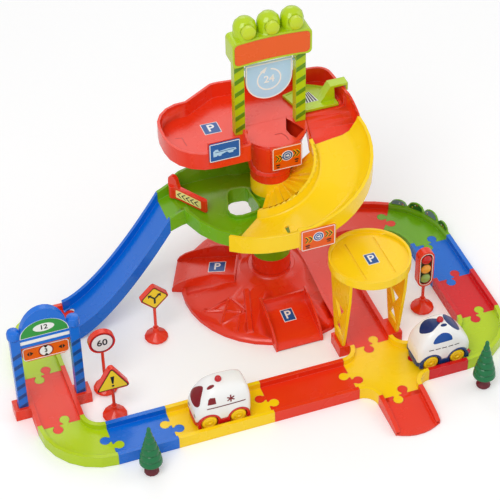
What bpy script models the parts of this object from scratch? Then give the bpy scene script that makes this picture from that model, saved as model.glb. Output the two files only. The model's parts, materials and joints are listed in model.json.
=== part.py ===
"""Toy garage play set: a tower with decks, a spiral and a slide, on a loop of snap-together road.

Metres, +Z up. The origin is on the floor, on the axis of the tower's column.
+X runs along the front road, +Y runs to the back.
"""
import math

import bmesh
import bpy
from mathutils import Vector

# Clearances
GAP = 0.0003
SNAP_GAP = 0.0004
PIVOT_GAP = 0.0004

# Road section
TRACK_WIDTH = 0.085
RAIL_WIDTH = 0.008
RAIL_TOP = 0.024
ROAD_TOP = 0.0125
SHELL = 0.0024
KNOB_RADIUS = 0.0092
KNOB_REACH = 0.0105
KNOB_OFFSET = 0.0085
KNOB_NECK = 0.0052

# Road layout
CORNER_INNER = 0.030
FRONT_Y = -0.3065
FRONT_BLUE = 0.110
FRONT_YELLOW = 0.178
FRONT_RED = 0.162
FRONT_SHORT = 0.077
RIGHT_RED = 0.109
RIGHT_BLUE = 0.108
JUNCTION = 0.136
LONG_X = 0.109
EXIT_LENGTH = 0.080
EXIT_BULGE = 0.012
BUSH_RADIUS = 0.106
BUSH_LEAD = 0.003
BUSH_TURN = 60.0
BACK_STRAIGHT = 0.0055
SLIDE_CORNER_INNER = 0.014
SLIDE_CORNER_LEAD = 0.064
LINK = 0.024

# Tower heights
BASE_RADIUS = 0.175
BASE_LIP = 0.015
CONE_START = 0.060
CONE_TOP = 0.040
CONE_FOOT = 0.015
COLUMN_RADIUS = 0.037
COLUMN_WALL = 0.0028
COLUMN_SIDES = 24
LOWER_TOP = 0.086
GREEN_FLOOR = 0.232
YELLOW_BAND_TOP = 0.272
DECK_FLOOR = 0.356
DECK_WALL = 0.0032
DECK_RIM = 0.030
DECK_SKIRT = 0.0045

# Spiral: angles are counter-clockwise from +X, seen from above
SPIRAL_CENTRE = (0.0, -0.038)
SPIRAL_FIRST = 9.0
SPIRAL_LAST = -140.0
SPIRAL_INSIDE = 0.0655
SPIRAL_OUTSIDE = 0.172
SPIRAL_LOW = 0.247
SPIRAL_STEPS = 10
BOUNDARY_FLOOR = 0.334

# Diverter arm
PIVOT = (-0.1745, 0.041)
ARM_ANGLE = -57.0
ARM_LENGTH = 0.075

# Launch plate on the deck
DECK_FRONT = -0.050
PLATE_FRONT = 0.0400
PLATE_BACK = 0.108
PLATE_LEFT = 0.074
PLATE_RIGHT = 0.149
PLATE_PIVOT_Z = DECK_FLOOR + 0.0045
LUG_LEFT = PLATE_LEFT - 0.0032
LUG_RIGHT = PLATE_RIGHT + 0.0032

# Gate on the deck
GATE_MIDDLE = 0.0095
GATE_DEPTH_Y = 0.030
LEG_OUT = 0.0580
LEG_WIDE = 0.019
HEAD_LOW = 0.516
HEAD_HIGH = 0.5655
HEAD_HALF = 0.0735
HEAD_FRONT = 0.0218
HEAD_CORNER = 0.008
LENS_Z = 0.5815
FLAP_HALF = 0.0440
FLAP_TOP = 0.497
LENS = 0.0125

# Landing pad
PAD_FOOT_LEAD = 0.022
PAD_FOOT_REACH = 0.020
PAD_FOOT_LENGTH = 0.0425
PAD_LEG_THICK = 0.0055
PAD_LEG_LENGTH = 0.037
PAD_LEG_X = TRACK_WIDTH / 2 + 0.011
PAD_FOOT_SEAT = 0.010
PAD_TOP = 0.2145
PAD_RADIUS = 0.0745
PAD_RIM = 0.007
PAD_SKIRT = 0.010

# Gate over the street
GATE_SOCKET_REACH = 0.028
GATE_SOCKET_LENGTH = 0.030
POST_SEAT = 0.006
POST_SIZE = 0.017
POST_OFFSET = TRACK_WIDTH / 2 + 0.0105
BAR_Z = 0.1575

# Link's tab, which holds the slide's foot
TAB_REACH = 0.010
TAB_OFFSET = 0.021
TAB_RADIUS = 0.0085
TAB_NECK = 0.005

BAY_WALL = 0.0035

# Slide
SLIDE_Y = 0.0175
SLIDE_HIGH_X = -0.202
SLIDE_FLOOR_HIGH = 0.222
SLIDE_RAIL = 0.018

# Cars
CAR_LENGTH = 0.104
CAR_WIDTH = 0.060
WHEEL_RADIUS = 0.0145
FENDER = 0.0062
WHEEL_WIDTH = 0.0095
AXLE_RADIUS = 0.0022
WHEELBASE = 0.054

RED = (0.80, 0.045, 0.012)
DEEP_RED = (0.62, 0.010, 0.015)
YELLOW = (1.0, 0.66, 0.01)
LIME = (0.47, 0.62, 0.008)
GREEN = (0.17, 0.42, 0.006)
BLUE = (0.0, 0.17, 0.58)
ORANGE = (0.80, 0.11, 0.008)
SKY = (0.36, 0.62, 0.86)
WHITE = (0.88, 0.88, 0.88)
NAVY = (0.02, 0.09, 0.28)
TREE_GREEN = (0.008, 0.15, 0.05)
MAROON = (0.16, 0.012, 0.02)


def clear_scene():
    for item in list(bpy.data.objects):
        bpy.data.objects.remove(item, do_unlink=True)


def plastic(name, colour, roughness=0.3):
    material = bpy.data.materials.get(name)
    if material is None:
        material = bpy.data.materials.new(name)
        material.use_nodes = True
        shader = material.node_tree.nodes["Principled BSDF"]
        shader.inputs["Base Color"].default_value = (*colour, 1.0)
        shader.inputs["Roughness"].default_value = roughness
        shader.inputs["Metallic"].default_value = 0.0
        material.diffuse_color = (*colour, 1.0)
    return material


def finish(name, mesh_data, colour_name, colour, origin=(0.0, 0.0, 0.0)):
    """Close a bmesh into a named object whose origin is at the given point."""
    bmesh.ops.remove_doubles(mesh_data, verts=mesh_data.verts, dist=1e-6)
    bmesh.ops.recalc_face_normals(mesh_data, faces=mesh_data.faces)
    bmesh.ops.translate(mesh_data, verts=mesh_data.verts, vec=-Vector(origin))
    mesh = bpy.data.meshes.new(name)
    mesh_data.to_mesh(mesh)
    mesh_data.free()
    mesh.shade_smooth()
    mesh.set_sharp_from_angle(angle=math.radians(32))
    mesh.materials.append(plastic(colour_name, colour))
    item = bpy.data.objects.new(name, mesh)
    item.location = origin
    bpy.context.scene.collection.objects.link(item)
    return item


def combine(target, tools, operation):
    """Apply union or difference with each bmesh in turn, leaving no modifier behind."""
    for tool_mesh in tools:
        bmesh.ops.remove_doubles(tool_mesh, verts=tool_mesh.verts, dist=1e-6)
        bmesh.ops.recalc_face_normals(tool_mesh, faces=tool_mesh.faces)
        data = bpy.data.meshes.new("tool")
        bmesh.ops.translate(tool_mesh, verts=tool_mesh.verts, vec=-target.location)
        tool_mesh.to_mesh(data)
        tool_mesh.free()
        tool = bpy.data.objects.new("tool", data)
        tool.location = target.location
        bpy.context.scene.collection.objects.link(tool)
        modifier = target.modifiers.new("combine", "BOOLEAN")
        modifier.operation = operation
        modifier.object = tool
        bpy.context.view_layer.update()
        graph = bpy.context.evaluated_depsgraph_get()
        result = bpy.data.meshes.new_from_object(target.evaluated_get(graph))
        target.modifiers.remove(modifier)
        target.data = result
        bpy.data.objects.remove(tool, do_unlink=True)
    target.data.shade_smooth()
    target.data.set_sharp_from_angle(angle=math.radians(32))
    return target


def cut(target, *tools):
    return combine(target, tools, "DIFFERENCE")


def join(target, *tools):
    return combine(target, tools, "UNION")


# Shapes

def loft(rings, closed=False):
    """Skin equal rings of points; the two end rings are filled unless the loft closes on itself."""
    shape = bmesh.new()
    rows = [[shape.verts.new(point) for point in ring] for ring in rings]
    count = len(rows[0])
    last = len(rows) if closed else len(rows) - 1
    for index in range(last):
        near = rows[index]
        far = rows[(index + 1) % len(rows)]
        for k in range(count):
            shape.faces.new((near[k], near[(k + 1) % count], far[(k + 1) % count], far[k]))
    if not closed:
        shape.faces.new(rows[0])
        shape.faces.new(list(reversed(rows[-1])))
    return shape


def prism(outline, low, high):
    return loft([[(x, y, low) for x, y in outline], [(x, y, high) for x, y in outline]])


def box(low, high):
    outline = [(low[0], low[1]), (high[0], low[1]), (high[0], high[1]), (low[0], high[1])]
    return prism(outline, low[2], high[2])


def lathe(profile, segments, centre=(0.0, 0.0, 0.0), tilt=None, hole=False):
    """Turn (radius, height) points round Z; a solid's profile starts and ends on the axis."""
    shape = bmesh.new()
    rows = []
    for radius, height in profile:
        if radius == 0.0:
            rows.append([shape.verts.new((0.0, 0.0, height))] * segments)
            continue
        row = []
        for k in range(segments):
            angle = math.tau * k / segments
            row.append(shape.verts.new((radius * math.cos(angle), radius * math.sin(angle), height)))
        rows.append(row)
    pairs = list(zip(rows, rows[1:]))
    if hole:
        pairs.append((rows[-1], rows[0]))
    for near, far in pairs:
        for k in range(segments):
            corners = [near[k], near[(k + 1) % segments], far[(k + 1) % segments], far[k]]
            unique = list(dict.fromkeys(corners))
            if len(unique) > 2:
                shape.faces.new(unique)
    if tilt is not None:
        bmesh.ops.transform(shape, matrix=tilt, verts=shape.verts)
    bmesh.ops.translate(shape, verts=shape.verts, vec=Vector(centre))
    return shape


def rod(start, end, radius, sides=16):
    """A round rod between two points."""
    axis = Vector(end) - Vector(start)
    turn = axis.to_track_quat("Z", "Y").to_matrix().to_4x4()
    profile = [(0.0, 0.0), (radius, 0.0), (radius, axis.length), (0.0, axis.length)]
    return lathe(profile, sides, centre=start, tilt=turn)


def arc(centre, radius, start, end, steps):
    """Points on an arc, in degrees."""
    points = []
    for k in range(steps + 1):
        angle = math.radians(start + (end - start) * k / steps)
        points.append((centre[0] + radius * math.cos(angle), centre[1] + radius * math.sin(angle)))
    return points


def rounded(corners, steps=5):
    """A closed outline from corners (x, y, radius), counter-clockwise or clockwise."""
    points = []
    count = len(corners)
    for k in range(count):
        x, y, radius = corners[k]
        here = Vector((x, y))
        before = (Vector(corners[k - 1][:2]) - here).normalized()
        after = (Vector(corners[(k + 1) % count][:2]) - here).normalized()
        if radius == 0.0:
            points.append((x, y))
            continue
        half = before.angle(after) / 2.0
        reach = radius / math.tan(half)
        middle = here + (before + after).normalized() * (radius / math.sin(half))
        first = here + before * reach - middle
        second = here + after * reach - middle
        turn = first.angle_signed(second)
        for step in range(steps + 1):
            swing = -turn * step / steps
            cos_swing = math.cos(swing)
            sin_swing = math.sin(swing)
            points.append((middle.x + first.x * cos_swing - first.y * sin_swing,
                           middle.y + first.x * sin_swing + first.y * cos_swing))
    return points


def inset(outline, distance):
    """Move an outline's points inwards along their corners' bisectors."""
    count = len(outline)
    area = sum(outline[k - 1][0] * outline[k][1] - outline[k][0] * outline[k - 1][1] for k in range(count))
    side = 1.0 if area > 0 else -1.0
    points = []
    for k in range(count):
        here = Vector(outline[k])
        before = (here - Vector(outline[k - 1])).normalized()
        after = (Vector(outline[(k + 1) % count]) - here).normalized()
        normal = Vector((-before.y - after.y, before.x + after.x)).normalized() * side
        edge = Vector((-after.y, after.x)) * side
        points.append(tuple(here + normal * (distance / max(normal.dot(edge), 0.4))))
    return points


def level(outline, height):
    return [(x, y, height) for x, y in outline]


def dish(outline, floor, rim, skirt, wall, lip):
    """A tray: an outline with a rim above its floor and a skirt below it."""
    return loft([
        level(inset(outline, wall), floor - wall),
        level(inset(outline, wall), floor - skirt),
        level(outline, floor - skirt),
        level(outline, floor + rim),
        level(inset(outline, lip), floor + rim),
        level(inset(outline, lip + 0.001), floor),
    ])


# Road

def channel(half_left, half_right, rail_left, rail_right, skirt, wall, rail=RAIL_WIDTH):
    """Section of a road: two hollow rails and a thin floor; v = 0 is the road surface, u runs right."""
    left = -half_left
    right = half_right
    return [
        (left, -skirt), (left, rail_left), (left + rail, rail_left), (left + rail, 0.0),
        (right - rail, 0.0), (right - rail, rail_right), (right, rail_right), (right, -skirt),
        (right - wall, -skirt), (right - wall, rail_right - wall),
        (right - rail + wall, rail_right - wall), (right - rail + wall, -wall),
        (left + rail - wall, -wall), (left + rail - wall, rail_left - wall),
        (left + wall, rail_left - wall), (left + wall, -skirt),
    ]


def place(section, x, y, z, heading):
    """Stand a section upright at a point, square to a heading in degrees."""
    angle = math.radians(heading)
    right = (math.sin(angle), -math.cos(angle))
    return [(x + u * right[0], y + u * right[1], z + v) for u, v in section]


def road_section():
    half = TRACK_WIDTH / 2
    rail = RAIL_TOP - ROAD_TOP
    return channel(half, half, rail, rail, ROAD_TOP, SHELL)


class Route:
    """A pen that walks along the road, keeping the stations that it passes."""

    def __init__(self, x, y, heading):
        self.x = x
        self.y = y
        self.heading = heading
        self.stations = [(x, y, heading)]

    def straight(self, length):
        angle = math.radians(self.heading)
        self.x += length * math.cos(angle)
        self.y += length * math.sin(angle)
        self.stations.append((self.x, self.y, self.heading))
        return self

    def turn(self, radius, degrees, step=15.0):
        """Turn left for positive degrees, right for negative."""
        side = 1.0 if degrees > 0 else -1.0
        angle = math.radians(self.heading)
        centre = (self.x - side * radius * math.sin(angle), self.y + side * radius * math.cos(angle))
        count = max(2, round(abs(degrees) / step))
        start = self.heading
        for k in range(1, count + 1):
            self.heading = start + degrees * k / count
            angle = math.radians(self.heading)
            self.x = centre[0] + side * radius * math.sin(angle)
            self.y = centre[1] - side * radius * math.cos(angle)
            self.stations.append((self.x, self.y, self.heading))
        return self

    def start(self):
        return self.stations[0]

    def end(self):
        return self.stations[-1]


def knob_outline(x, y, heading, grow):
    """Plan of the round knob on the right-hand side of a road's end, seen along the heading outwards."""
    reach = KNOB_REACH
    radius = KNOB_RADIUS + grow
    neck = KNOB_NECK + grow
    open_angle = math.degrees(math.asin(neck / radius))
    points = [(-0.004, -neck), *arc((reach, 0.0), radius, -180.0 + open_angle, 180.0 - open_angle, 9),
              (-0.004, neck)]
    angle = math.radians(heading)
    outline = []
    for along, side in points:
        across = side - KNOB_OFFSET
        outline.append((x + along * math.cos(angle) - across * math.sin(angle),
                        y + along * math.sin(angle) + across * math.cos(angle)))
    return outline


def knob(x, y, heading):
    return prism(knob_outline(x, y, heading, 0.0), ROAD_TOP - SHELL, ROAD_TOP)


def socket(x, y, heading):
    """The hole that the neighbour's knob fills: the neighbour faces the other way."""
    return prism(knob_outline(x, y, heading + 180.0, SNAP_GAP), ROAD_TOP - 3 * SHELL, ROAD_TOP + SHELL)


def shorten(stations):
    """Pull both ends in by half of the gap that touching pieces keep."""
    ends = []
    for (x, y, heading), side in ((stations[0], 1.0), (stations[-1], -1.0)):
        angle = math.radians(heading)
        ends.append((x + side * GAP / 2 * math.cos(angle), y + side * GAP / 2 * math.sin(angle), heading))
    return [ends[0], *stations[1:-1], ends[1]]


def interlock(item, route, front=True, back=True):
    """Give a road piece its knob and socket at the ends that meet another piece."""
    ends = []
    if front:
        ends.append(route.end())
    if back:
        x, y, heading = route.start()
        ends.append((x, y, heading + 180.0))
    for x, y, heading in ends:
        join(item, knob(x, y, heading))
    for x, y, heading in ends:
        cut(item, socket(x, y, heading))
    return item


def road(name, route, colour_name, colour, front=True, back=True):
    rings = [place(road_section(), x, y, ROAD_TOP, heading) for x, y, heading in shorten(route.stations)]
    item = finish(name, loft(rings), colour_name, colour)
    return interlock(item, route, front, back)


def gate_socket(x, y, outward, reach, length):
    """A box beside a rail that a leg or post stands in: one closed lump, open on top."""
    inner = x - outward * RAIL_WIDTH / 2
    outer = x + outward * reach
    low = (min(inner, outer), y - length / 2, 0.0)
    high = (max(inner, outer), y + length / 2, RAIL_TOP)
    return box(low, high)


CORNER_RADIUS = CORNER_INNER + TRACK_WIDTH / 2
JUNCTION_LEFT = LONG_X - JUNCTION / 2
JUNCTION_RIGHT = LONG_X + JUNCTION / 2
CORNER_LEFT_X = JUNCTION_LEFT - FRONT_RED - FRONT_YELLOW - FRONT_BLUE
GATE_X = CORNER_LEFT_X - CORNER_RADIUS
GATE_TRACK_Y = FRONT_Y + CORNER_RADIUS
GATE_Y = GATE_TRACK_Y + 0.062
SLIDE_CORNER_RADIUS = SLIDE_CORNER_INNER + TRACK_WIDTH / 2
GATE_TRACK = SLIDE_Y - SLIDE_CORNER_RADIUS - SLIDE_CORNER_LEAD - GATE_TRACK_Y
RIGHT_X = JUNCTION_RIGHT + FRONT_SHORT + CORNER_RADIUS
RIGHT_END_Y = FRONT_Y + CORNER_RADIUS + RIGHT_RED + RIGHT_BLUE
BUSH_COS = math.cos(math.radians(BUSH_TURN))
BUSH_SIN = math.sin(math.radians(BUSH_TURN))
BUSH_END_X = RIGHT_X - BUSH_RADIUS * (1 - BUSH_COS)
BUSH_END_Y = RIGHT_END_Y + BUSH_LEAD + BUSH_RADIUS * BUSH_SIN
BACK_RADIUS = (BUSH_END_X - LONG_X - TRACK_WIDTH / 2 - BACK_STRAIGHT) / BUSH_COS - TRACK_WIDTH / 2
BACK_END_Y = BUSH_END_Y - (BACK_RADIUS + TRACK_WIDTH / 2) * BUSH_SIN + BACK_RADIUS
LONG_TRACK = BACK_END_Y - FRONT_Y - JUNCTION / 2


def make_front_roads():
    route = Route(GATE_X, GATE_TRACK_Y, 270.0).turn(CORNER_RADIUS, 90.0)
    road("corner_left", route, "lime", LIME)
    for name, length, colour_name, colour in (
            ("track_blue_front", FRONT_BLUE, "blue", BLUE),
            ("track_yellow", FRONT_YELLOW, "yellow", YELLOW),
            ("track_red_front", FRONT_RED, "red", RED)):
        route = Route(*route.end()).straight(length)
        road(name, route, colour_name, colour)


def make_right_roads():
    route = Route(JUNCTION_RIGHT, FRONT_Y, 0.0).straight(FRONT_SHORT)
    road("track_red_short", route, "deep_red", DEEP_RED)
    route = Route(*route.end()).turn(CORNER_RADIUS, 90.0)
    road("corner_right", route, "lime", LIME)
    route = Route(*route.end()).straight(RIGHT_RED)
    road("track_red_right", route, "deep_red", DEEP_RED)
    route = Route(*route.end()).straight(RIGHT_BLUE)
    road("track_blue_right", route, "blue", BLUE)
    route = Route(*route.end()).straight(BUSH_LEAD).turn(BUSH_RADIUS, BUSH_TURN)
    make_bush_corner(route)
    make_back_track(route.end())


def make_bush_corner(route):
    """The green corner whose outer rail grows into four bushes."""
    item = road("bush_corner", route, "green", GREEN)
    centre = (route.x - BUSH_RADIUS * math.cos(math.radians(BUSH_TURN)),
              route.y - BUSH_RADIUS * math.sin(math.radians(BUSH_TURN)))
    outer = BUSH_RADIUS + TRACK_WIDTH / 2
    wall = 0.0045
    spread = (BUSH_TURN - 1.2) / 4
    bushes = []
    for k in range(4):
        middle = 0.6 + spread * (k + 0.5)
        height = 0.040 + (0.004 if k in (1, 2) else 0.0)
        rings = []
        for step in range(7):
            share = step / 6
            angle = math.radians(middle + (share - 0.5) * (spread + (1.5 if k in (1, 2) else 0.0)))
            top = RAIL_TOP - 0.003 + (height - RAIL_TOP) * math.sqrt(max(0.02, 1 - (2 * share - 1) ** 2))
            ring = []
            for radius, z in ((outer - wall - 0.001, ROAD_TOP + 0.004), (outer - 0.0008, ROAD_TOP + 0.004),
                              (outer - 0.0008, top), (outer - wall, top)):
                ring.append((centre[0] + radius * math.cos(angle), centre[1] + radius * math.sin(angle), z))
            rings.append(ring)
        bushes.append(loft(rings))
    for bush in bushes:
        join(item, bush)


def make_back_track(start):
    """Wide red corner that gathers the back road into the long one."""
    x, y, heading = start
    half = TRACK_WIDTH / 2
    left = math.radians(heading + 90.0)
    inner = (x + half * math.cos(left), y + half * math.sin(left))
    centre = (inner[0] + BACK_RADIUS * math.cos(left), inner[1] + BACK_RADIUS * math.sin(left))
    sweep = 180.0 - heading
    first = heading - 90.0
    inner_arc = arc(centre, BACK_RADIUS, first, first + sweep, 4)
    outer_arc = arc(centre, BACK_RADIUS + TRACK_WIDTH, first, first + sweep, 5)
    pivot = (LONG_X + half, inner_arc[-1][1])
    far_arc = arc(pivot, TRACK_WIDTH, 90.0, 180.0, 7)
    inner_path = [*inner_arc, pivot]
    outer_path = [*outer_arc, *far_arc]
    outline = [*inner_path, *reversed(outer_path)]
    floor = inset(outline, RAIL_WIDTH - SHELL / 2)
    floor[0] = lerp2(inner_path[0], outer_path[0], (RAIL_WIDTH - SHELL / 2) / TRACK_WIDTH)
    floor[-1] = lerp2(inner_path[0], outer_path[0], 1 - (RAIL_WIDTH - SHELL / 2) / TRACK_WIDTH)
    end = len(inner_path) - 1
    floor[end] = (pivot[0] - RAIL_WIDTH + SHELL / 2, pivot[1] + GAP / 2)
    floor[end + 1] = (LONG_X - half + RAIL_WIDTH - SHELL / 2, pivot[1] + GAP / 2)
    item = finish("back_track", prism(floor, ROAD_TOP - SHELL, ROAD_TOP), "red", RED)
    rail = rail_section()
    join(item, loft(rail_rings(rail, inner_path[:-1], heading, 180.0)),
         loft(rail_rings(mirror(rail), outer_path, heading, 270.0)))
    ends = [(x, y, heading + 180.0), (LONG_X, pivot[1], 270.0)]
    for spot in ends:
        join(item, knob(*spot))
    for spot in ends:
        cut(item, socket(*spot))
    return item


def lerp2(a, b, share):
    return (a[0] + (b[0] - a[0]) * share, a[1] + (b[1] - a[1]) * share)


def rail_section():
    """Hollow rail on the left of a road; u = 0 is its outer face and u grows into the road."""
    top = RAIL_TOP - ROAD_TOP
    return [(0.0, -ROAD_TOP), (0.0, top), (RAIL_WIDTH, top), (RAIL_WIDTH, -SHELL),
            (RAIL_WIDTH - SHELL, -SHELL), (RAIL_WIDTH - SHELL,
                                           top - SHELL), (SHELL, top - SHELL), (SHELL, -ROAD_TOP)]


def mirror(section):
    return [(-u, v) for u, v in section]


def rail_rings(section, path, first_heading, last_heading):
    """Stand a rail's section at each point of a path, square to the path."""
    rings = []
    count = len(path)
    for k, (x, y) in enumerate(path):
        if k == 0:
            heading = first_heading
        elif k == count - 1:
            heading = last_heading
        else:
            heading = math.degrees(math.atan2(path[k + 1][1] - path[k - 1][1],
                                              path[k + 1][0] - path[k - 1][0]))
        shift = GAP / 2 if k == 0 else (-GAP / 2 if k == count - 1 else 0.0)
        angle = math.radians(heading)
        rings.append(place(section, x + shift * math.cos(angle), y + shift * math.sin(angle), ROAD_TOP,
                           heading))
    return rings


def make_junction():
    """Yellow crossing with a rail bump in each corner."""
    half = JUNCTION / 2 - GAP / 2
    notch = JUNCTION / 2 - TRACK_WIDTH / 2
    outline = []
    for quarter in range(4):
        turn = math.radians(90.0 * quarter)
        for x, y in arc((half, half), notch + RAIL_WIDTH - SHELL / 2, 270.0, 180.0, 6):
            outline.append((LONG_X + x * math.cos(turn) - y * math.sin(turn),
                            FRONT_Y + x * math.sin(turn) + y * math.cos(turn)))
    item = finish("junction", prism(outline, ROAD_TOP - SHELL, ROAD_TOP), "yellow", YELLOW)
    section = rail_section()
    for quarter in range(4):
        turn = math.radians(90.0 * quarter)
        rings = []
        for k in range(7):
            angle = math.radians(270.0 - 90.0 * k / 6)
            ring = []
            for u, v in section:
                x = half + (notch + u) * math.cos(angle)
                y = half + (notch + u) * math.sin(angle)
                ring.append((LONG_X + x * math.cos(turn) - y * math.sin(turn),
                             FRONT_Y + x * math.sin(turn) + y * math.cos(turn), ROAD_TOP + v))
            rings.append(ring)
        join(item, loft(rings))
    ends = []
    for heading in (0.0, 90.0, 180.0, 270.0):
        angle = math.radians(heading)
        ends.append((LONG_X + JUNCTION / 2 * math.cos(angle), FRONT_Y + JUNCTION / 2 * math.sin(angle),
                     heading))
    for spot in ends:
        join(item, knob(*spot))
    for spot in ends:
        cut(item, socket(*spot))
    return item


def make_long_track():
    """Long red road beside the tower, with sockets for the landing pad's legs."""
    route = Route(LONG_X, FRONT_Y + JUNCTION / 2, 90.0).straight(LONG_TRACK)
    item = road("long_track", route, "red", RED)
    foot_y = FRONT_Y + JUNCTION / 2 + PAD_FOOT_LEAD
    left = LONG_X - TRACK_WIDTH / 2
    right = LONG_X + TRACK_WIDTH / 2
    join(item, gate_socket(left, foot_y, -1.0, PAD_FOOT_REACH, PAD_FOOT_LENGTH),
         gate_socket(right, foot_y, 1.0, PAD_FOOT_REACH, PAD_FOOT_LENGTH))
    hole = PAD_LEG_THICK + 2 * PIVOT_GAP
    depth = RAIL_TOP - PAD_FOOT_SEAT
    for side in (-1.0, 1.0):
        x = LONG_X + side * PAD_LEG_X
        cut(item, box((x - hole / 2, foot_y - PAD_LEG_LENGTH / 2 - PIVOT_GAP, RAIL_TOP - depth),
                      (x + hole / 2, foot_y + PAD_LEG_LENGTH / 2 + PIVOT_GAP, RAIL_TOP + depth)))
    return item


def make_landing_pad():
    """Yellow round platform with a raised edge, on two flat legs with triangular windows."""
    centre = (LONG_X, FRONT_Y + JUNCTION / 2 + PAD_FOOT_LEAD)
    circle = arc(centre, PAD_RADIUS, 0.0, 360.0 - 360.0 / 40, 39)
    item = finish("landing_pad", dish(circle, PAD_TOP - PAD_RIM, PAD_RIM, PAD_SKIRT, 0.003, 0.004), "yellow",
                  YELLOW)
    top = PAD_TOP - PAD_RIM - 0.001
    for side in (-1.0, 1.0):
        x = centre[0] + side * PAD_LEG_X
        near = x - PAD_LEG_THICK / 2
        far = x + PAD_LEG_THICK / 2
        foot = PAD_LEG_LENGTH / 2
        face = [(-foot, PAD_FOOT_SEAT + GAP), (foot, PAD_FOOT_SEAT + GAP), (foot, RAIL_TOP + GAP),
                (foot + 0.006, 0.050), (0.042, 0.150), (0.046, top),
                (-0.046, top), (-0.042, 0.150), (-foot - 0.006, 0.050), (-foot, RAIL_TOP + GAP)]
        leg = loft([[(near, centre[1] + y, z) for y, z in face], [(far, centre[1] + y, z) for y, z in face]])
        join(item, leg)
        for low, high, wide, flip in ((0.044, 0.074, 0.018, 1.0), (0.081, 0.113, 0.021, -1.0)):
            tip, base = (high, low) if flip > 0 else (low, high)
            window = [(-wide, base), (wide, base), (0.0, tip)]
            cut(item, loft([[(near - 0.01, centre[1] + y, z) for y, z in window],
                            [(far + 0.01, centre[1] + y, z) for y, z in window]]))
    groove = 0.0016
    for offset in (-0.028, 0.028):
        cut(item, box((centre[0] + offset - groove, centre[1] - 0.050, PAD_TOP - PAD_RIM - groove),
                      (centre[0] + offset + groove, centre[1] + 0.050, PAD_TOP)))
    return item


def make_exit_ramp():
    """Red ramp down from the junction, ending in a curved lip."""
    half = TRACK_WIDTH / 2
    top_y = FRONT_Y - JUNCTION / 2
    rings = []
    count = 8
    for k in range(count + 1):
        share = k / count
        drop = share * share * (3 - 2 * share)
        floor = ROAD_TOP - (ROAD_TOP - 0.0034) * drop
        ease = 1.0 if share < 0.7 else math.sqrt(max(0.0, 1 - ((share - 0.7) / 0.34) ** 2))
        rail = (RAIL_TOP - ROAD_TOP) * ease
        rail = max(rail, 0.0032)
        wall = min(SHELL, floor - 0.0008)
        section = channel(half, half, rail, rail, floor, wall)
        ring = []
        for u, v in section:
            ring.append((LONG_X - u, top_y - GAP / 2 - EXIT_LENGTH * share, floor + v))
        rings.append(ring)
    item = finish("exit_ramp", loft(rings), "red", RED)
    end_y = top_y - EXIT_LENGTH
    shares = (-1.0, -0.8, -0.5, -0.2, 0.2, 0.5, 0.8, 1.0)
    lip = [(LONG_X + u * half * 0.97, end_y - EXIT_BULGE * (1 - u * u)) for u in shares]
    lip += [(LONG_X + half * 0.97, end_y + 0.003), (LONG_X - half * 0.97, end_y + 0.003)]
    join(item, prism(lip, 0.0005, 0.0033))
    spot = (LONG_X, top_y, 90.0)
    join(item, knob(*spot))
    cut(item, socket(*spot))
    return item


def make_left_roads():
    """The gate's road, the lime corner behind it and the short link at the slide's foot."""
    route = Route(GATE_X, GATE_TRACK_Y, 90.0).straight(GATE_TRACK)
    item = road("gate_track", route, "red", RED)
    half = TRACK_WIDTH / 2
    join(item, gate_socket(GATE_X - half, GATE_Y, -1.0, GATE_SOCKET_REACH, GATE_SOCKET_LENGTH),
         gate_socket(GATE_X + half, GATE_Y, 1.0, GATE_SOCKET_REACH, GATE_SOCKET_LENGTH))
    hole = POST_SIZE / 2 + PIVOT_GAP
    for side in (-1.0, 1.0):
        x = GATE_X + side * POST_OFFSET
        cut(item, box((x - hole, GATE_Y - hole, POST_SEAT), (x + hole, GATE_Y + hole, RAIL_TOP + 0.01)))
    route = Route(*route.end()).straight(SLIDE_CORNER_LEAD).turn(SLIDE_CORNER_RADIUS, -90.0)
    road("corner_slide", route, "lime", LIME)
    route = Route(*route.end()).straight(LINK)
    item = road("track_link", route, "red", RED, front=False)
    x, y, heading = route.end()
    join(item, prism(arc((x + TAB_REACH, y + TAB_OFFSET), TAB_RADIUS, 0.0, 337.5, 15), ROAD_TOP - SHELL,
                     ROAD_TOP),
         box((x - 0.004, y + TAB_OFFSET - TAB_NECK, ROAD_TOP - SHELL),
             (x + TAB_REACH, y + TAB_OFFSET + TAB_NECK, ROAD_TOP)))
    return route.end()


def slide_height(share):
    """Height of the slide's floor, from its top (0) to its foot (1)."""
    return ROAD_TOP + (SLIDE_FLOOR_HIGH - ROAD_TOP) * (1.0 - share) ** 1.45


def make_slide(foot):
    """Blue slide from the green level down to the link."""
    half = TRACK_WIDTH / 2
    low_x = foot[0] + GAP / 2
    rings = []
    count = 16
    for k in range(count + 1):
        share = k / count
        x = SLIDE_HIGH_X - GAP + (low_x - SLIDE_HIGH_X + GAP) * share
        floor = slide_height(share)
        section = channel(half, half, SLIDE_RAIL, SLIDE_RAIL, min(0.014, floor - 0.0002), SHELL, rail=0.007)
        rings.append([(x, SLIDE_Y - u, floor + v) for u, v in section])
    item = finish("blue_slide", loft(rings), "blue", BLUE)
    x, y, heading = foot
    grown = TAB_RADIUS + SNAP_GAP
    cut(item, prism(arc((x + TAB_REACH, y + TAB_OFFSET), grown, 0.0, 337.5, 15), ROAD_TOP - 4 * SHELL,
                    ROAD_TOP + 0.02),
        box((x - 0.01, y + TAB_OFFSET - TAB_NECK - SNAP_GAP, ROAD_TOP - 4 * SHELL),
            (x + TAB_REACH, y + TAB_OFFSET + TAB_NECK + SNAP_GAP, ROAD_TOP + 0.02)))
    return item


# Tower

def pipe(low, high):
    """Ring section of a sleeve that ends in a spigot for the next one."""
    bore = COLUMN_RADIUS - COLUMN_WALL
    spigot = bore - SNAP_GAP
    neck = spigot - 0.0024
    return [(bore, low), (COLUMN_RADIUS, low), (COLUMN_RADIUS, high), (spigot, high), (spigot, high + 0.012),
            (neck, high + 0.012), (neck, high - 0.003), (bore, high - 0.006)]


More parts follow.
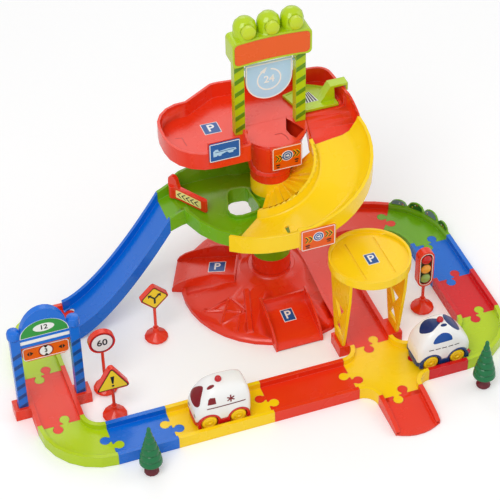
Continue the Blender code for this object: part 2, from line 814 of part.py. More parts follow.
def make_lower_column():
    finish("lower_column", lathe(pipe(0.0033, LOWER_TOP), COLUMN_SIDES, hole=True), "red", RED)


def make_upper_column():
    bore = COLUMN_RADIUS - COLUMN_WALL
    low = YELLOW_BAND_TOP + GAP
    high = DECK_FLOOR - DECK_WALL - GAP
    ring = [(bore, low), (COLUMN_RADIUS, low), (COLUMN_RADIUS, high), (bore, high)]
    finish("upper_column", lathe(ring, COLUMN_SIDES, hole=True), "red", RED)


def along(x, y, heading, forward, right):
    """A point given by its distances forward and to the right of a heading."""
    angle = math.radians(heading)
    return (x + forward * math.cos(angle) + right * math.sin(angle),
            y + forward * math.sin(angle) - right * math.cos(angle))


BAYS = (
    # start x, start y, heading, length and half width on a base of 175 mm radius, back wall top
    (-0.0115, -0.092, 270.0, 0.093, 0.0465, 0.050),
    (-0.060, 0.028, 155.0, 0.122, 0.043, 0.041),
    (-0.010, 0.090, 92.0, 0.092, 0.044, 0.050),
)


def sized_bay(bay):
    x, y, heading, length, half, top = bay
    share = BASE_RADIUS / 0.175
    return (x * share, y * share, heading, length * share, half * share, top)


def bay_outline(bay, grow):
    x, y, heading, length, half, top = bay
    return [along(x, y, heading, -grow, -half - grow), along(x, y, heading, length + 0.02, -half - grow),
            along(x, y, heading, length + 0.02, half + grow), along(x, y, heading, -grow, half + grow)]


def bay_channel(bay):
    """Parking bay: a sloping floor between two walls that sink towards its mouth."""
    x, y, heading, length, half, top = bay
    stations = ((0.0, 0.028, 0.058), (0.35, 0.023, 0.052), (0.7, 0.017, 0.036), (0.86, 0.0135, 0.026),
                (0.96, 0.0075, 0.016), (1.0, 0.0040, 0.0075))
    rings = []
    for share, floor, wall in stations:
        tall = min(wall, top + 0.012)
        section = [(-half, 0.0), (-half, tall), (-half + BAY_WALL, tall), (-half + BAY_WALL, floor),
                   (half - BAY_WALL, floor), (half - BAY_WALL, tall), (half, tall), (half, 0.0),
                   (half - BAY_WALL, 0.0), (half - BAY_WALL, floor - 0.003),
                   (-half + BAY_WALL, floor - 0.003), (-half + BAY_WALL, 0.0)]
        px, py = along(x, y, heading, length * share, 0.0)
        rings.append(place(section, px, py, 0.0, heading))
    return loft(rings)


def bay_back(bay):
    x, y, heading, length, half, top = bay
    outline = [along(x, y, heading, -0.0005, -half), along(x, y, heading, 0.0035, -half),
               along(x, y, heading, 0.0035, half), along(x, y, heading, -0.0005, half)]
    return prism(outline, 0.0, top)


def cone_height(radius):
    return CONE_TOP - (radius - CONE_START) * (CONE_TOP - CONE_FOOT) / (BASE_RADIUS - BASE_LIP - CONE_START)


def on_base(point):
    """A rib's end, measured on a base of 175 mm radius, on this base."""
    return (point[0] * BASE_RADIUS / 0.175, point[1] * BASE_RADIUS / 0.175)


def rib(start, end, wide, tall):
    """A bar lying on the base's cone."""
    a = Vector(start)
    b = Vector(end)
    side = Vector((-(b - a).y, (b - a).x)).normalized() * wide / 2
    rings = []
    for point in (a, b):
        height = cone_height(point.length)
        rings.append([(point.x - side.x, point.y - side.y, height - 0.003),
                      (point.x + side.x, point.y + side.y, height - 0.003),
                      (point.x + side.x * 0.6, point.y + side.y * 0.6, height + tall),
                      (point.x - side.x * 0.6, point.y - side.y * 0.6, height + tall)])
    return loft(rings)


def make_base():
    """Round red base with three parking bays and a hub for the column."""
    hub = COLUMN_RADIUS + GAP
    profile = [(0.0, 0.003), (hub, 0.003), (hub, 0.052), (0.044, 0.052), (0.047, 0.047),
               (CONE_START, CONE_TOP),
               (BASE_RADIUS - BASE_LIP, CONE_FOOT), (BASE_RADIUS - 0.005,
                                                     0.013), (BASE_RADIUS, 0.008), (BASE_RADIUS, 0.0),
               (BASE_RADIUS - 0.003, 0.0), (BASE_RADIUS - 0.003, 0.0065), (BASE_RADIUS - 0.007, 0.010),
               (BASE_RADIUS - BASE_LIP - 0.002, 0.012), (0.050,
                                                         0.038), (0.046, 0.038), (0.046, 0.0), (0.0, 0.0)]
    item = finish("base_plate", lathe(profile, 36), "red", RED)
    flat_x = LONG_X - TRACK_WIDTH / 2 - GAP
    solid = [(0.0, 0.0), (BASE_RADIUS, 0.0), (BASE_RADIUS, 0.008), (BASE_RADIUS - 0.005, 0.013),
             (BASE_RADIUS - BASE_LIP, CONE_FOOT), (CONE_START, CONE_TOP), (0.047, 0.047), (0.0, 0.047)]
    wall = finish("wall", lathe(solid, 36), "red", RED)
    combine(wall, [box((flat_x - 0.0025, -0.2, -0.01), (flat_x, 0.2, 0.1))], "INTERSECT")
    wall_mesh = bmesh.new()
    wall_mesh.from_mesh(wall.data)
    bpy.data.objects.remove(wall, do_unlink=True)
    cut(item, box((flat_x - 0.001, -0.3, -0.01), (0.3, 0.3, 0.2)))
    join(item, wall_mesh)
    bays = [sized_bay(bay) for bay in BAYS]
    for bay in bays:
        cut(item, prism(bay_outline(bay, -0.0005), -0.01, 0.1))
    for bay in bays:
        join(item, bay_channel(bay))
        join(item, bay_back(bay))
    for start, end in (((-0.150, -0.052), (-0.098, -0.046)), ((-0.152, -0.046), (-0.092, -0.084)),
                       ((-0.101, -0.042), (-0.134, -0.092)), ((-0.133, -0.094), (-0.082, -0.088)),
                       ((-0.091, -0.082), (-0.113, -0.122)), ((-0.099, -0.044), (-0.080, -0.090))):
        join(item, rib(on_base(start), on_base(end), 0.0055, 0.0032))
    join(item, rib(on_base((-0.0660, -0.0440)), on_base((-0.0905, -0.1340)), 0.014, 0.008))
    return item


def make_green_level():
    """Middle level: a green channel round the column, open to the spiral and to the slide."""
    corners = [(-0.174, -0.030, 0.0), (-0.160, -0.068, 0.040), (-0.138, -0.102, 0.040),
               (-0.1085, -0.1285, 0.0),
               (-0.052, -0.084, 0.0), (0.020, -0.064, 0.030), (0.056, -0.020, 0.030), (0.056, 0.024, 0.030),
               (0.020, 0.066, 0.040), (-0.040, 0.068, 0.020), (-0.062, 0.076, 0.020), (-0.112, 0.078, 0.020),
               (-0.160, 0.076, 0.020), (-0.174, 0.062, 0.0)]
    outline = rounded(corners, steps=2)
    rims = []
    for x, y in outline:
        back = min(1.0, max(0.0, (y + 0.01) / 0.07))
        left = min(1.0, max(0.0, (-x - 0.13) / 0.04))
        rims.append(0.023 + 0.015 * back * (1 - left))
    rings = [level(inset(outline, 0.003), GREEN_FLOOR - 0.003),
             level(inset(outline, 0.003), GREEN_FLOOR - 0.007),
             level(outline, GREEN_FLOOR - 0.007),
             [(x, y, GREEN_FLOOR + rim) for (x, y), rim in zip(outline, rims)],
             [(x, y, GREEN_FLOOR + rim) for (x, y), rim in zip(inset(outline, 0.006), rims)],
             level(inset(outline, 0.007), GREEN_FLOOR)]
    item = finish("green_level", loft(rings), "green", GREEN)
    join(item, lathe(pipe(LOWER_TOP + GAP, 0.240), COLUMN_SIDES, hole=True))
    bore = COLUMN_RADIUS - COLUMN_WALL
    cut(item, lathe([(0.0, GREEN_FLOOR - 0.0045), (bore + GAP, GREEN_FLOOR - 0.0045),
                     (bore + GAP, GREEN_FLOOR + 0.0010),
                     (0.0, GREEN_FLOOR + 0.0010)], COLUMN_SIDES))
    hole = [(-0.103, -0.062, 0.018), (-0.038, -0.056, 0.014), (-0.044, -0.002, 0.0), (-0.038, 0.012, 0.010),
            (-0.078, 0.016, 0.014)]
    join(item, prism(rounded([(-0.106, -0.066, 0.021), (-0.034, -0.060, 0.017), (-0.040, -0.002, 0.0),
                              (-0.034, 0.016, 0.013), (-0.080, 0.020, 0.017)], 3), 0.208, 0.240))
    cut(item, prism(rounded(hole, 3), 0.190, 0.270))
    half = TRACK_WIDTH / 2
    cut(item, box((-0.185, SLIDE_Y - half + 0.0057, GREEN_FLOOR - 0.0004),
                  (-0.160, SLIDE_Y + half - 0.0057, 0.290)))
    rings = []
    for x, floor, rail in ((-0.1697, GREEN_FLOOR - 0.0003, 0.0226), (-0.180, 0.2300, 0.0215),
                           (-0.192, 0.2258, 0.0190),
                           (SLIDE_HIGH_X, SLIDE_FLOOR_HIGH, SLIDE_RAIL)):
        section = channel(half, half, rail, rail, 0.0117, SHELL, rail=0.006)
        rings.append([(x, SLIDE_Y - u, floor + v) for u, v in section])
    join(item, loft(rings))
    under_steps = [(-0.0240, -0.0300), (-0.0110, -0.0372), (0.0030, -0.0388), (-0.0100, -0.1050),
                   (-0.0480, -0.1000),
                   (-0.0600, -0.0780)]
    cut(item, prism(under_steps, 0.2369, 0.290))
    mouth = [(-0.1000, -0.1380), (-0.0500, -0.1000), (-0.0440, -0.0800), (-0.0560, -0.0780),
             (-0.0985, -0.1110)]
    cut(item, prism(mouth, GREEN_FLOOR - 0.0004, 0.290))
    join(item, rod((PIVOT[0], PIVOT[1], GREEN_FLOOR - 0.003), (PIVOT[0], PIVOT[1], GREEN_FLOOR + 0.012),
                   0.003, 12))
    return item


def make_diverter():
    """Red arm that turns on a post and sends cars to the slide or round again."""
    bottom = GREEN_FLOOR + 0.0035
    top = bottom + 0.026
    half = 0.004
    outline = [*arc((0.0, 0.0), 0.0085, 35.0, 325.0, 10), (0.020, -half),
               *arc((ARM_LENGTH, 0.0), half, -90.0, 90.0, 4),
               (0.020, half)]
    turned = [along(PIVOT[0], PIVOT[1], ARM_ANGLE, x, -y) for x, y in outline]
    item = finish("diverter_arm", prism(turned, bottom, top), "red", RED, origin=(PIVOT[0], PIVOT[1], bottom))
    fin = [(-0.0085, top - 0.002), (0.016, top - 0.002), (0.011, top + 0.012)]
    fin += [(0.0015 + 0.0090 * math.cos(math.radians(a)), top + 0.014 + 0.0090 * math.sin(math.radians(a)))
            for a in (10, 40, 70, 100, 130, 160)]
    fin += [(-0.0080, top + 0.012)]
    rings = []
    for side in (-0.0042, 0.0042):
        rings.append([(*along(PIVOT[0], PIVOT[1], ARM_ANGLE, u, side), z) for u, z in fin])
    join(item, loft(rings))
    bore = 0.003 + PIVOT_GAP
    cut(item, rod((PIVOT[0], PIVOT[1], bottom - 0.001), (PIVOT[0], PIVOT[1], GREEN_FLOOR + 0.0125), bore, 12))
    return item


def spiral_floor(share):
    return BOUNDARY_FLOOR + (SPIRAL_LOW - BOUNDARY_FLOOR) * share


def make_spiral():
    """Yellow ramp winding down round the column, with a tall outer wall and steps inside it."""
    item_rings = []
    count = 18
    for k in range(count + 1):
        share = k / count
        angle = math.radians(SPIRAL_FIRST + (SPIRAL_LAST - SPIRAL_FIRST) * share)
        floor = spiral_floor(share)
        inner = SPIRAL_INSIDE
        outer = SPIRAL_OUTSIDE
        foot = outer - 0.022
        section = [(inner, -0.008), (inner, 0.016), (inner + 0.007, 0.016), (inner + 0.009, 0.001),
                   (inner + 0.016, 0.0), (foot - 0.014, 0.0), (foot, 0.004), (outer - 0.008, 0.022),
                   (outer - 0.0055, 0.030), (outer, 0.030), (outer, -0.005),
                   (outer - 0.0025, -0.005), (outer - 0.0025, 0.020), (foot + 0.003, 0.001),
                   (foot - 0.012, -0.003), (inner + 0.008, -0.003), (inner + 0.005, 0.013),
                   (inner + 0.0025, 0.013), (inner + 0.0025, -0.008)]
        item_rings.append([(SPIRAL_CENTRE[0] + r * math.cos(angle), SPIRAL_CENTRE[1] + r * math.sin(angle),
                            floor + v)
                           for r, v in section])
    item = finish("yellow_spiral", loft(item_rings), "yellow", YELLOW)
    join(item, lathe(pipe(0.240 + GAP, YELLOW_BAND_TOP), COLUMN_SIDES, hole=True))
    rings = []
    for k in range(SPIRAL_STEPS):
        height = spiral_floor((k + 0.5) / SPIRAL_STEPS) - 0.003
        if height > YELLOW_BAND_TOP - 0.0015:
            height_inner = YELLOW_BAND_TOP - 0.0015
        else:
            height_inner = height
        for part in (0.02, 0.98):
            share = (k + part) / SPIRAL_STEPS
            rim = math.radians(SPIRAL_FIRST - 4.0 + (SPIRAL_LAST - SPIRAL_FIRST + 6.0) * share)
            core = math.radians(-8.0 + (-122.0 + 8.0) * share)
            near = (0.0366 * math.cos(core), 0.0366 * math.sin(core))
            far = (SPIRAL_CENTRE[0] + (SPIRAL_INSIDE + 0.0012) * math.cos(rim),
                   SPIRAL_CENTRE[1] + (SPIRAL_INSIDE + 0.0012) * math.sin(rim))
            under_near = max(height_inner - 0.0105, 0.2415)
            under_far = max(height - 0.0105, 0.2378)
            rings.append([(*near, under_near), (*far, under_far), (*far, height), (*near, height_inner)])
    join(item, loft(rings))
    x, y = 0.0115, SPIRAL_CENTRE[1] - SPIRAL_OUTSIDE
    join(item, box((x - 0.034, y - 0.0005, 0.262), (x + 0.034, y + 0.012, 0.302)))
    cut(item, box((x - 0.040, y + 0.006, 0.20), (x + 0.040, y + 0.06, 0.2700)))
    return item


def deck_outline():
    nose = arc((0.0145, 0.026), 0.0625, 213.0, 352.0, 11)
    left = rounded([(-0.192, 0.124, 0.062), (-0.192, DECK_FRONT, 0.076), (-0.052, DECK_FRONT, 0.006),
                    (-0.048, nose[0][1], 0.0), (0.0, 0.1, 0.0)], 5)[:-1]
    right = rounded([(0.0, 0.1, 0.0), (0.0770, 0.0345, 0.0), (0.166, 0.0345, 0.0), (0.158, 0.130, 0.028),
                     (-0.055, 0.152, 0.060), (-0.192, 0.124, 0.0)], 5)[1:-1]
    return [*left, *nose, *right]


def make_deck():
    """Top parking deck: a tray with an open round nose, a funnel under it and the start of the ramp."""
    outline = deck_outline()
    item = finish("parking_deck", dish(outline, DECK_FLOOR, DECK_RIM, DECK_SKIRT, DECK_WALL, 0.005), "red",
                  RED)
    low = DECK_FLOOR - 0.0003
    cut(item, prism([(-0.0505, -0.070), (0.1605, -0.070), (0.1605, 0.0425), (-0.040, 0.0425)], low, 0.400))
    rings = []
    upper = DECK_FLOOR - DECK_WALL + 0.001
    for radius, x, y, z in ((COLUMN_RADIUS + 0.0028, 0.0, 0.0, 0.292), (0.0525, 0.0115, 0.020, 0.322),
                            (0.0600, 0.0140, 0.0255, upper - 0.004), (0.0600, 0.0140, 0.0255, upper),
                            (0.0570, 0.0140, 0.0255, upper), (0.0570, 0.0140, 0.0255, upper - 0.005),
                            (0.0490, 0.0115, 0.020, 0.323), (COLUMN_RADIUS + GAP, 0.0, 0.0, 0.292)):
        rings.append([(x + radius * math.cos(math.tau * k / 24), y + radius * math.sin(math.tau * k / 24), z)
                      for k in range(24)])
    join(item, loft(rings, closed=True), box((-0.012, -0.0415, 0.3085), (0.046, -0.020, 0.3540)))
    cut(item, lathe([(0.0, 0.280), (COLUMN_RADIUS + GAP, 0.280),
                     (COLUMN_RADIUS + GAP, DECK_FLOOR - DECK_WALL + GAP),
                     (0.0, DECK_FLOOR - DECK_WALL + GAP)], COLUMN_SIDES))
    collar = COLUMN_RADIUS - COLUMN_WALL - SNAP_GAP
    join(item, lathe([(collar - 0.0024, 0.342), (collar, 0.342), (collar, 0.3535), (collar - 0.0024, 0.3535)],
                     COLUMN_SIDES, hole=True))
    hole = [(0.046, 0.0405), (0.0315, 0.000), (0.042, -0.022), (0.0655, -0.003), (0.0570, 0.0180)]
    cut(item, prism(hole, 0.3485, 0.400))
    make_ramp(item)
    for x in (LUG_LEFT, LUG_RIGHT):
        join(item, box((x - 0.0025, PLATE_FRONT + 0.0005, DECK_FLOOR - 0.001),
                       (x + 0.0025, PLATE_FRONT + 0.0085, PLATE_PIVOT_Z + 0.0042)))
        cut(item, rod((x - 0.004, PLATE_FRONT + 0.0045, PLATE_PIVOT_Z),
                      (x + 0.004, PLATE_FRONT + 0.0045, PLATE_PIVOT_Z),
                      0.0016 + PIVOT_GAP, 12))
    join(item, box((-0.133, DECK_FRONT + 0.0003, 0.3665), (-0.073, DECK_FRONT + 0.0042, 0.4105)))
    return item


def make_ramp(item):
    """The red start of the ramp, from the deck's edge to the spiral."""
    first = math.radians(SPIRAL_FIRST)
    end_in = (SPIRAL_CENTRE[0] + SPIRAL_INSIDE * math.cos(first),
              SPIRAL_CENTRE[1] + SPIRAL_INSIDE * math.sin(first))
    end_out = (SPIRAL_CENTRE[0] + SPIRAL_OUTSIDE * math.cos(first),
               SPIRAL_CENTRE[1] + SPIRAL_OUTSIDE * math.sin(first))
    start_in = (0.0775, 0.0385)
    start_out = (0.1660, 0.0385)
    rings = []
    for share in (0.0, 0.12, 0.34, 0.56, 0.78, 1.0):
        ease = share * share * (1.5 - 0.5 * share)
        floor = DECK_FLOOR + (BOUNDARY_FLOOR - DECK_FLOOR) * ease
        a = lerp2(start_in, end_in, share)
        b = lerp2(start_out, end_out, share)
        if share == 1.0:
            a = (a[0], a[1] + GAP)
            b = (b[0], b[1] + GAP)
        width = math.dist(a, b)
        outer_rail = DECK_RIM + (0.033 - DECK_RIM) * share
        inner_rail = max(0.0004, DECK_FLOOR - 0.001 - floor)
        section = channel(0.0, width, inner_rail, outer_rail, 0.008, SHELL, rail=0.0050)
        rings.append([(a[0] + (b[0] - a[0]) * u / width, a[1] + (b[1] - a[1]) * u / width, floor + v)
                      for u, v in section])
    join(item, loft(rings))


def make_launch_plate():
    """Lime flap that tips a car on to the ramp; its handle reaches over the deck's rim."""
    low = DECK_FLOOR + 0.0012
    high = DECK_FLOOR + 0.0065
    outline = [(PLATE_LEFT, PLATE_FRONT), (PLATE_RIGHT, PLATE_FRONT),
               (PLATE_RIGHT - 0.002, PLATE_BACK - 0.012),
               (PLATE_RIGHT - 0.034, PLATE_BACK + 0.008), (PLATE_LEFT - 0.013, PLATE_BACK - 0.009),
               (PLATE_LEFT, PLATE_FRONT + 0.0105)]
    pivot = (0.5 * (PLATE_LEFT + PLATE_RIGHT), PLATE_FRONT + 0.0045, PLATE_PIVOT_Z)
    item = finish("launch_plate", prism(outline, low, high), "lime", LIME, origin=pivot)
    tray = inset(outline, 0.004)
    cut(item, prism(tray, high - 0.0012, high + 0.01))
    join(item, rod((PLATE_LEFT + 0.002, pivot[1], pivot[2]), (LUG_LEFT - 0.0018, pivot[1], pivot[2]), 0.0016,
                   10),
         rod((PLATE_RIGHT - 0.002, pivot[1], pivot[2]), (LUG_RIGHT + 0.0018, pivot[1], pivot[2]), 0.0016, 10))
    hook = [(0.118, high - 0.002), (0.147, high - 0.002), (0.1455, 0.3885), (0.1690, 0.3885), (0.1690, 0.377),
            (0.1725, 0.377), (0.1725, 0.393), (0.138, 0.393)]
    join(item, loft([[(x, 0.0540, z) for x, z in hook], [(x, 0.0740, z) for x, z in hook]]))
    return item


def curve_band(half, low, high, sag, steps=8):
    """A header's outline: round corners, and top and bottom edges that bow upwards in the middle."""
    top = []
    bottom = []
    for k in range(steps + 1):
        u = -half + 2 * half * k / steps
        rise = sag * (1 - (u / half) ** 2)
        corner = HEAD_CORNER if k in (0, steps) else 0.0
        bottom.append((GATE_MIDDLE + u, low + rise, corner))
        top.append((GATE_MIDDLE + u, high + rise, corner))
    return rounded([*bottom, *reversed(top)], 3)


def make_deck_gate():
    """Lime gate on the deck: two legs, a header with three pods, and a hanging round panel."""
    y = GATE_DEPTH_Y
    outline = curve_band(HEAD_HALF, HEAD_LOW - 0.004, HEAD_HIGH - 0.002, 0.004)
    item = finish("deck_gate_frame", loft([[(x, y - HEAD_FRONT, z) for x, z in outline],
                                           [(x, y + 0.0170, z) for x, z in outline]]), "lime", LIME)
    for side in (-1.0, 1.0):
        x = GATE_MIDDLE + side * LEG_OUT
        join(item, box((x - LEG_WIDE / 2, y - 0.008, DECK_FLOOR + GAP),
                       (x + LEG_WIDE / 2, y + 0.008, HEAD_LOW + 0.010)))
    pod = [(0.0, HEAD_HIGH - 0.010), (0.0212, HEAD_HIGH - 0.010), (0.0212, 0.582), (0.0190, 0.590),
           (0.0130, 0.5965),
           (0.0060, 0.5995), (0.0, 0.6000)]
    for k, x in enumerate((-0.034, GATE_MIDDLE, 0.053)):
        join(item, lathe(pod, 16, centre=(x, y - 0.0002 * k, 0.001 * (k % 2))))
    for x in (-0.034, GATE_MIDDLE, 0.053):
        cut(item, rod((x, y - 0.0250, LENS_Z), (x, y - 0.0155, LENS_Z), LENS + GAP, 16))
    pivot_x = (GATE_MIDDLE - LEG_OUT + LEG_WIDE / 2, GATE_MIDDLE + LEG_OUT - LEG_WIDE / 2)
    cut(item, rod((pivot_x[0] - 0.006, y, FLAP_TOP - 0.006), (pivot_x[1] + 0.006, y, FLAP_TOP - 0.006),
                  0.0022 + PIVOT_GAP, 12))
    frame = curve_band(HEAD_HALF - 0.0035, HEAD_LOW, HEAD_HIGH - 0.006, 0.004)
    cut(item, loft([[(x, y - HEAD_FRONT - 0.0017, z) for x, z in frame],
                    [(x, y - HEAD_FRONT + 0.0020, z) for x, z in frame]]))
    panel = curve_band(HEAD_HALF - 0.0035 - GAP, HEAD_LOW + GAP, HEAD_HIGH - 0.006 - GAP, 0.004)
    finish("deck_gate_header", loft([[(x, y - HEAD_FRONT - 0.0004, z) for x, z in panel],
                                     [(x, y - HEAD_FRONT + 0.0018, z) for x, z in panel]]),
           "orange", ORANGE)
    for k, x in enumerate((-0.034, GATE_MIDDLE, 0.053)):
        lens = [(0.0, 0.0), (LENS, 0.0), (LENS, 0.0085), (LENS - 0.0025, 0.0105), (0.0, 0.0118)]
        turn = Vector((0.0, -1.0, 0.0)).to_track_quat("Z", "Y").to_matrix().to_4x4()
        finish("beacon_lens_" + "abc"[k], lathe(lens, 16, centre=(x, y - 0.0158, LENS_Z), tilt=turn), "lens",
               (0.85, 0.80, 0.03))
    z = FLAP_TOP - 0.006
    shape = [(FLAP_HALF, FLAP_TOP), (-FLAP_HALF, FLAP_TOP), (-FLAP_HALF, FLAP_TOP - 0.034)]
    shape += [(FLAP_HALF * math.cos(math.radians(a)), FLAP_TOP - 0.034 + FLAP_HALF * math.sin(math.radians(a)))
              for a in range(195, 360, 15)]
    shape += [(FLAP_HALF, FLAP_TOP - 0.034)]
    flap = finish("deck_gate_flap", loft([[(GATE_MIDDLE + u, y - 0.0022, v) for u, v in shape],
                                          [(GATE_MIDDLE + u, y + 0.0022, v) for u, v in shape]]), "sky", SKY,
                  origin=(GATE_MIDDLE, y, z))
    join(flap, rod((pivot_x[0] - 0.004, y, z), (pivot_x[1] + 0.004, y, z), 0.0022, 12))


def make_sign_panels():
    """Three small printed panels clipped to the tower."""
    def panel(name, x, y, low, high, half, colour_name, colour):
        outline = rounded([(x - half, low, 0.003), (x + half, low, 0.003), (x + half, high, 0.003),
                           (x - half, high, 0.003)], 3)
        finish(name, loft([[(u, y - 0.0020, v) for u, v in outline], [(u, y, v) for u, v in outline]]),
               colour_name, colour)
    panel("tow_sign", -0.103, DECK_FRONT - GAP, 0.3690, 0.4085, 0.0285, "sign_blue", (0.015, 0.13, 0.45))
    panel("upper_arrow_sign", 0.017, -0.0415 - GAP, 0.3095, 0.3600, 0.0285, "orange", ORANGE)
    panel("lower_arrow_sign", 0.0115, SPIRAL_CENTRE[1] - SPIRAL_OUTSIDE - 0.0005 - GAP, 0.2590, 0.3050,
          0.0320,
          "orange", ORANGE)


def make_street_gate():
    """Blue gate over the left road with a hanging orange barrier."""
    y = GATE_Y
    half = POST_SIZE / 2
    inner = POST_OFFSET - half
    low = 0.163
    spring = 0.180
    arch = [(-inner - 0.002, low), (inner + 0.002, low), (inner + 0.002, spring)]
    arch += [((inner - 0.0005) * math.cos(math.radians(a)), spring + 0.064 * math.sin(math.radians(a)))
             for a in range(12, 180, 12)]
    arch += [(-inner - 0.002, spring)]
    item = finish("street_gate_frame", loft([[(GATE_X + u, y - 0.006, v) for u, v in arch],
                                             [(GATE_X + u, y + 0.006, v) for u, v in arch]]), "blue", BLUE)
    for side in (-1.0, 1.0):
        x = GATE_X + side * POST_OFFSET
        join(item, box((x - half, y - half, POST_SEAT + GAP), (x + half, y + half, 0.190)))
        finial = [(0.0, 0.187), (0.0112, 0.187), (0.0120, 0.190), (0.0120, 0.199), (0.0105, 0.203),
                  (0.0, 0.206)]
        join(item, lathe(finial, 16, centre=(x, y, 0.0)))
    cut(item, rod((GATE_X - inner - 0.006, y, BAR_Z), (GATE_X + inner + 0.006, y, BAR_Z), 0.0020 + PIVOT_GAP,
                  12))
    wide = inner - 0.0012
    shape = [(-wide, 0.1605), (-wide, 0.140), (-wide + 0.003, 0.130), (-wide + 0.010, 0.1255),
             (wide - 0.010, 0.1255),
             (wide - 0.003, 0.130), (wide, 0.140), (wide, 0.1605)]
    flap = finish("street_gate_flap", loft([[(GATE_X + u, y - 0.0022, v) for u, v in shape],
                                            [(GATE_X + u, y + 0.0022, v) for u,
                                             v in shape]]), "orange", ORANGE,
                  origin=(GATE_X, y, BAR_Z))
    join(flap, rod((GATE_X - inner - 0.004, y, BAR_Z), (GATE_X + inner + 0.004, y, BAR_Z), 0.0020, 12))


def make_sign(name, x, y, head_z, face, thick, colour_name="red", colour=RED):
    """A road sign: a printed head on a post, standing in a round foot."""
    foot = [(0.0, 0.0), (0.0205, 0.0), (0.0225, 0.003), (0.0205, 0.0075), (0.012, 0.0105), (0.0064, 0.0125),
            (0.0058, 0.026), (0.0034, 0.026), (0.0034, 0.008), (0.0, 0.008)]
    finish(name + "_foot", lathe(foot, 14, centre=(x, y, 0.0)), colour_name, colour)
    low = min(v for u, v in face)
    item = finish(name + "_head", rod((x, y, 0.0083), (x, y, head_z + low + 0.004), 0.0030, 12), colour_name,
                  colour)
    join(item, loft([[(x + u, y - thick / 2, head_z + v) for u, v in face],
                     [(x + u, y + thick / 2, head_z + v) for u, v in face]]))
    return item


def make_signs():
    disc = [(0.0245 * math.cos(math.tau * k / 24), 0.0245 * math.sin(math.tau * k / 24)) for k in range(24)]
    make_sign("speed_sign", GATE_X + 0.1015, -0.163, 0.120, disc, 0.011)
    triangle = rounded([(-0.034, -0.020, 0.006), (0.034, -0.020, 0.006), (0.0, 0.037, 0.006)], 4)
    make_sign("warning_sign", GATE_X + 0.0985, -0.233, 0.090, triangle, 0.011)
    diamond = rounded([(0.0, -0.0285, 0.005), (0.0285, 0.0, 0.005), (0.0, 0.0285, 0.005),
                       (-0.0285, 0.0, 0.005)], 4)
    make_sign("crossroads_sign", -0.254, -0.068, 0.104, diamond, 0.011)
    lamp = rounded([(-0.0155, -0.042, 0.014), (0.0155, -0.042, 0.014), (0.0155, 0.042, 0.014),
                    (-0.0155, 0.042, 0.014)], 4)
    x, y, z = 0.2425, -0.169, 0.104
    item = make_sign("traffic_light", x, y, z, lamp, 0.016)
    recess = rounded([(-0.0115, -0.037, 0.011), (0.0115, -0.037, 0.011), (0.0115, 0.037, 0.011),
                      (-0.0115, 0.037, 0.011)], 4)
    cut(item, loft([[(x + u, y - 0.010, z + v) for u, v in recess],
                    [(x + u, y - 0.0055, z + v) for u, v in recess]]))
    turn = Vector((0.0, -1.0, 0.0)).to_track_quat("Z", "Y").to_matrix().to_4x4()
    for rise in (-0.023, 0.0, 0.023):
        lens = [(0.0, 0.0), (0.0095, 0.0), (0.0095, 0.0022), (0.0062, 0.0048), (0.0, 0.0060)]
        join(item, lathe(lens, 14, centre=(x, y - 0.0050, z + rise), tilt=turn))


def make_trees():
    for name, x, y in (("tree_left", -0.361, -0.383), ("tree_right", 0.264, -0.394)):
        base = [(0.0, 0.0), (0.0125, 0.0), (0.0135, 0.002), (0.0125, 0.006), (0.0062, 0.0105),
                (0.0052, 0.0230), (0.0, 0.0230)]
        finish(name + "_base", lathe(base, 12, centre=(x, y, 0.0)), "maroon", MAROON)
        crown = [(0.0, 0.0233), (0.0175, 0.0233), (0.0210, 0.0260), (0.0200, 0.0350), (0.0152, 0.0530),
                 (0.0168, 0.0545),
                 (0.0157, 0.0605), (0.0106, 0.0765), (0.0120, 0.0780), (0.0109, 0.0825), (0.0058, 0.0960),
                 (0.0068, 0.0975), (0.0040, 0.1055), (0.0, 0.1100)]
        finish(name + "_crown", lathe(crown, 11, centre=(x, y, 0.0)), "tree_green", TREE_GREEN)


def car_ring(x, half, low, belt, roof, tuck):
    """Cross-section of a car body: straight below the belt, rounded in to the roof."""
    rise = roof - belt
    left = [(half, low), (half, belt), (half - tuck * 0.16, belt + rise * 0.38),
            (half - tuck * 0.55, belt + rise * 0.74),
            (half - tuck * 1.2, belt + rise * 0.94), (half - tuck * 2.2, roof)]
    return [(x, y, z) for y, z in left] + [(x, -y, z) for y, z in reversed(left)]


def side_skirt(reach, wheel_x, arch, fender, low, high):
    """Outline of a chassis' side: a sill that rises round both wheels."""
    top = math.degrees(math.asin((high - WHEEL_RADIUS) / fender))
    foot = math.degrees(math.asin((low - WHEEL_RADIUS) / arch))
    points = [(-reach, low), (-reach, high)]
    for x in (-wheel_x, wheel_x):
        points.extend((x + u, WHEEL_RADIUS + v) for u, v in arc((0.0, 0.0), fender, 180.0 - top, top, 8))
    points.extend([(reach, high), (reach, low)])
    for x in (wheel_x, -wheel_x):
        points.extend((x + u, WHEEL_RADIUS + v) for u, v in arc((0.0, 0.0), arch, foot, 180.0 - foot, 8))
    return points


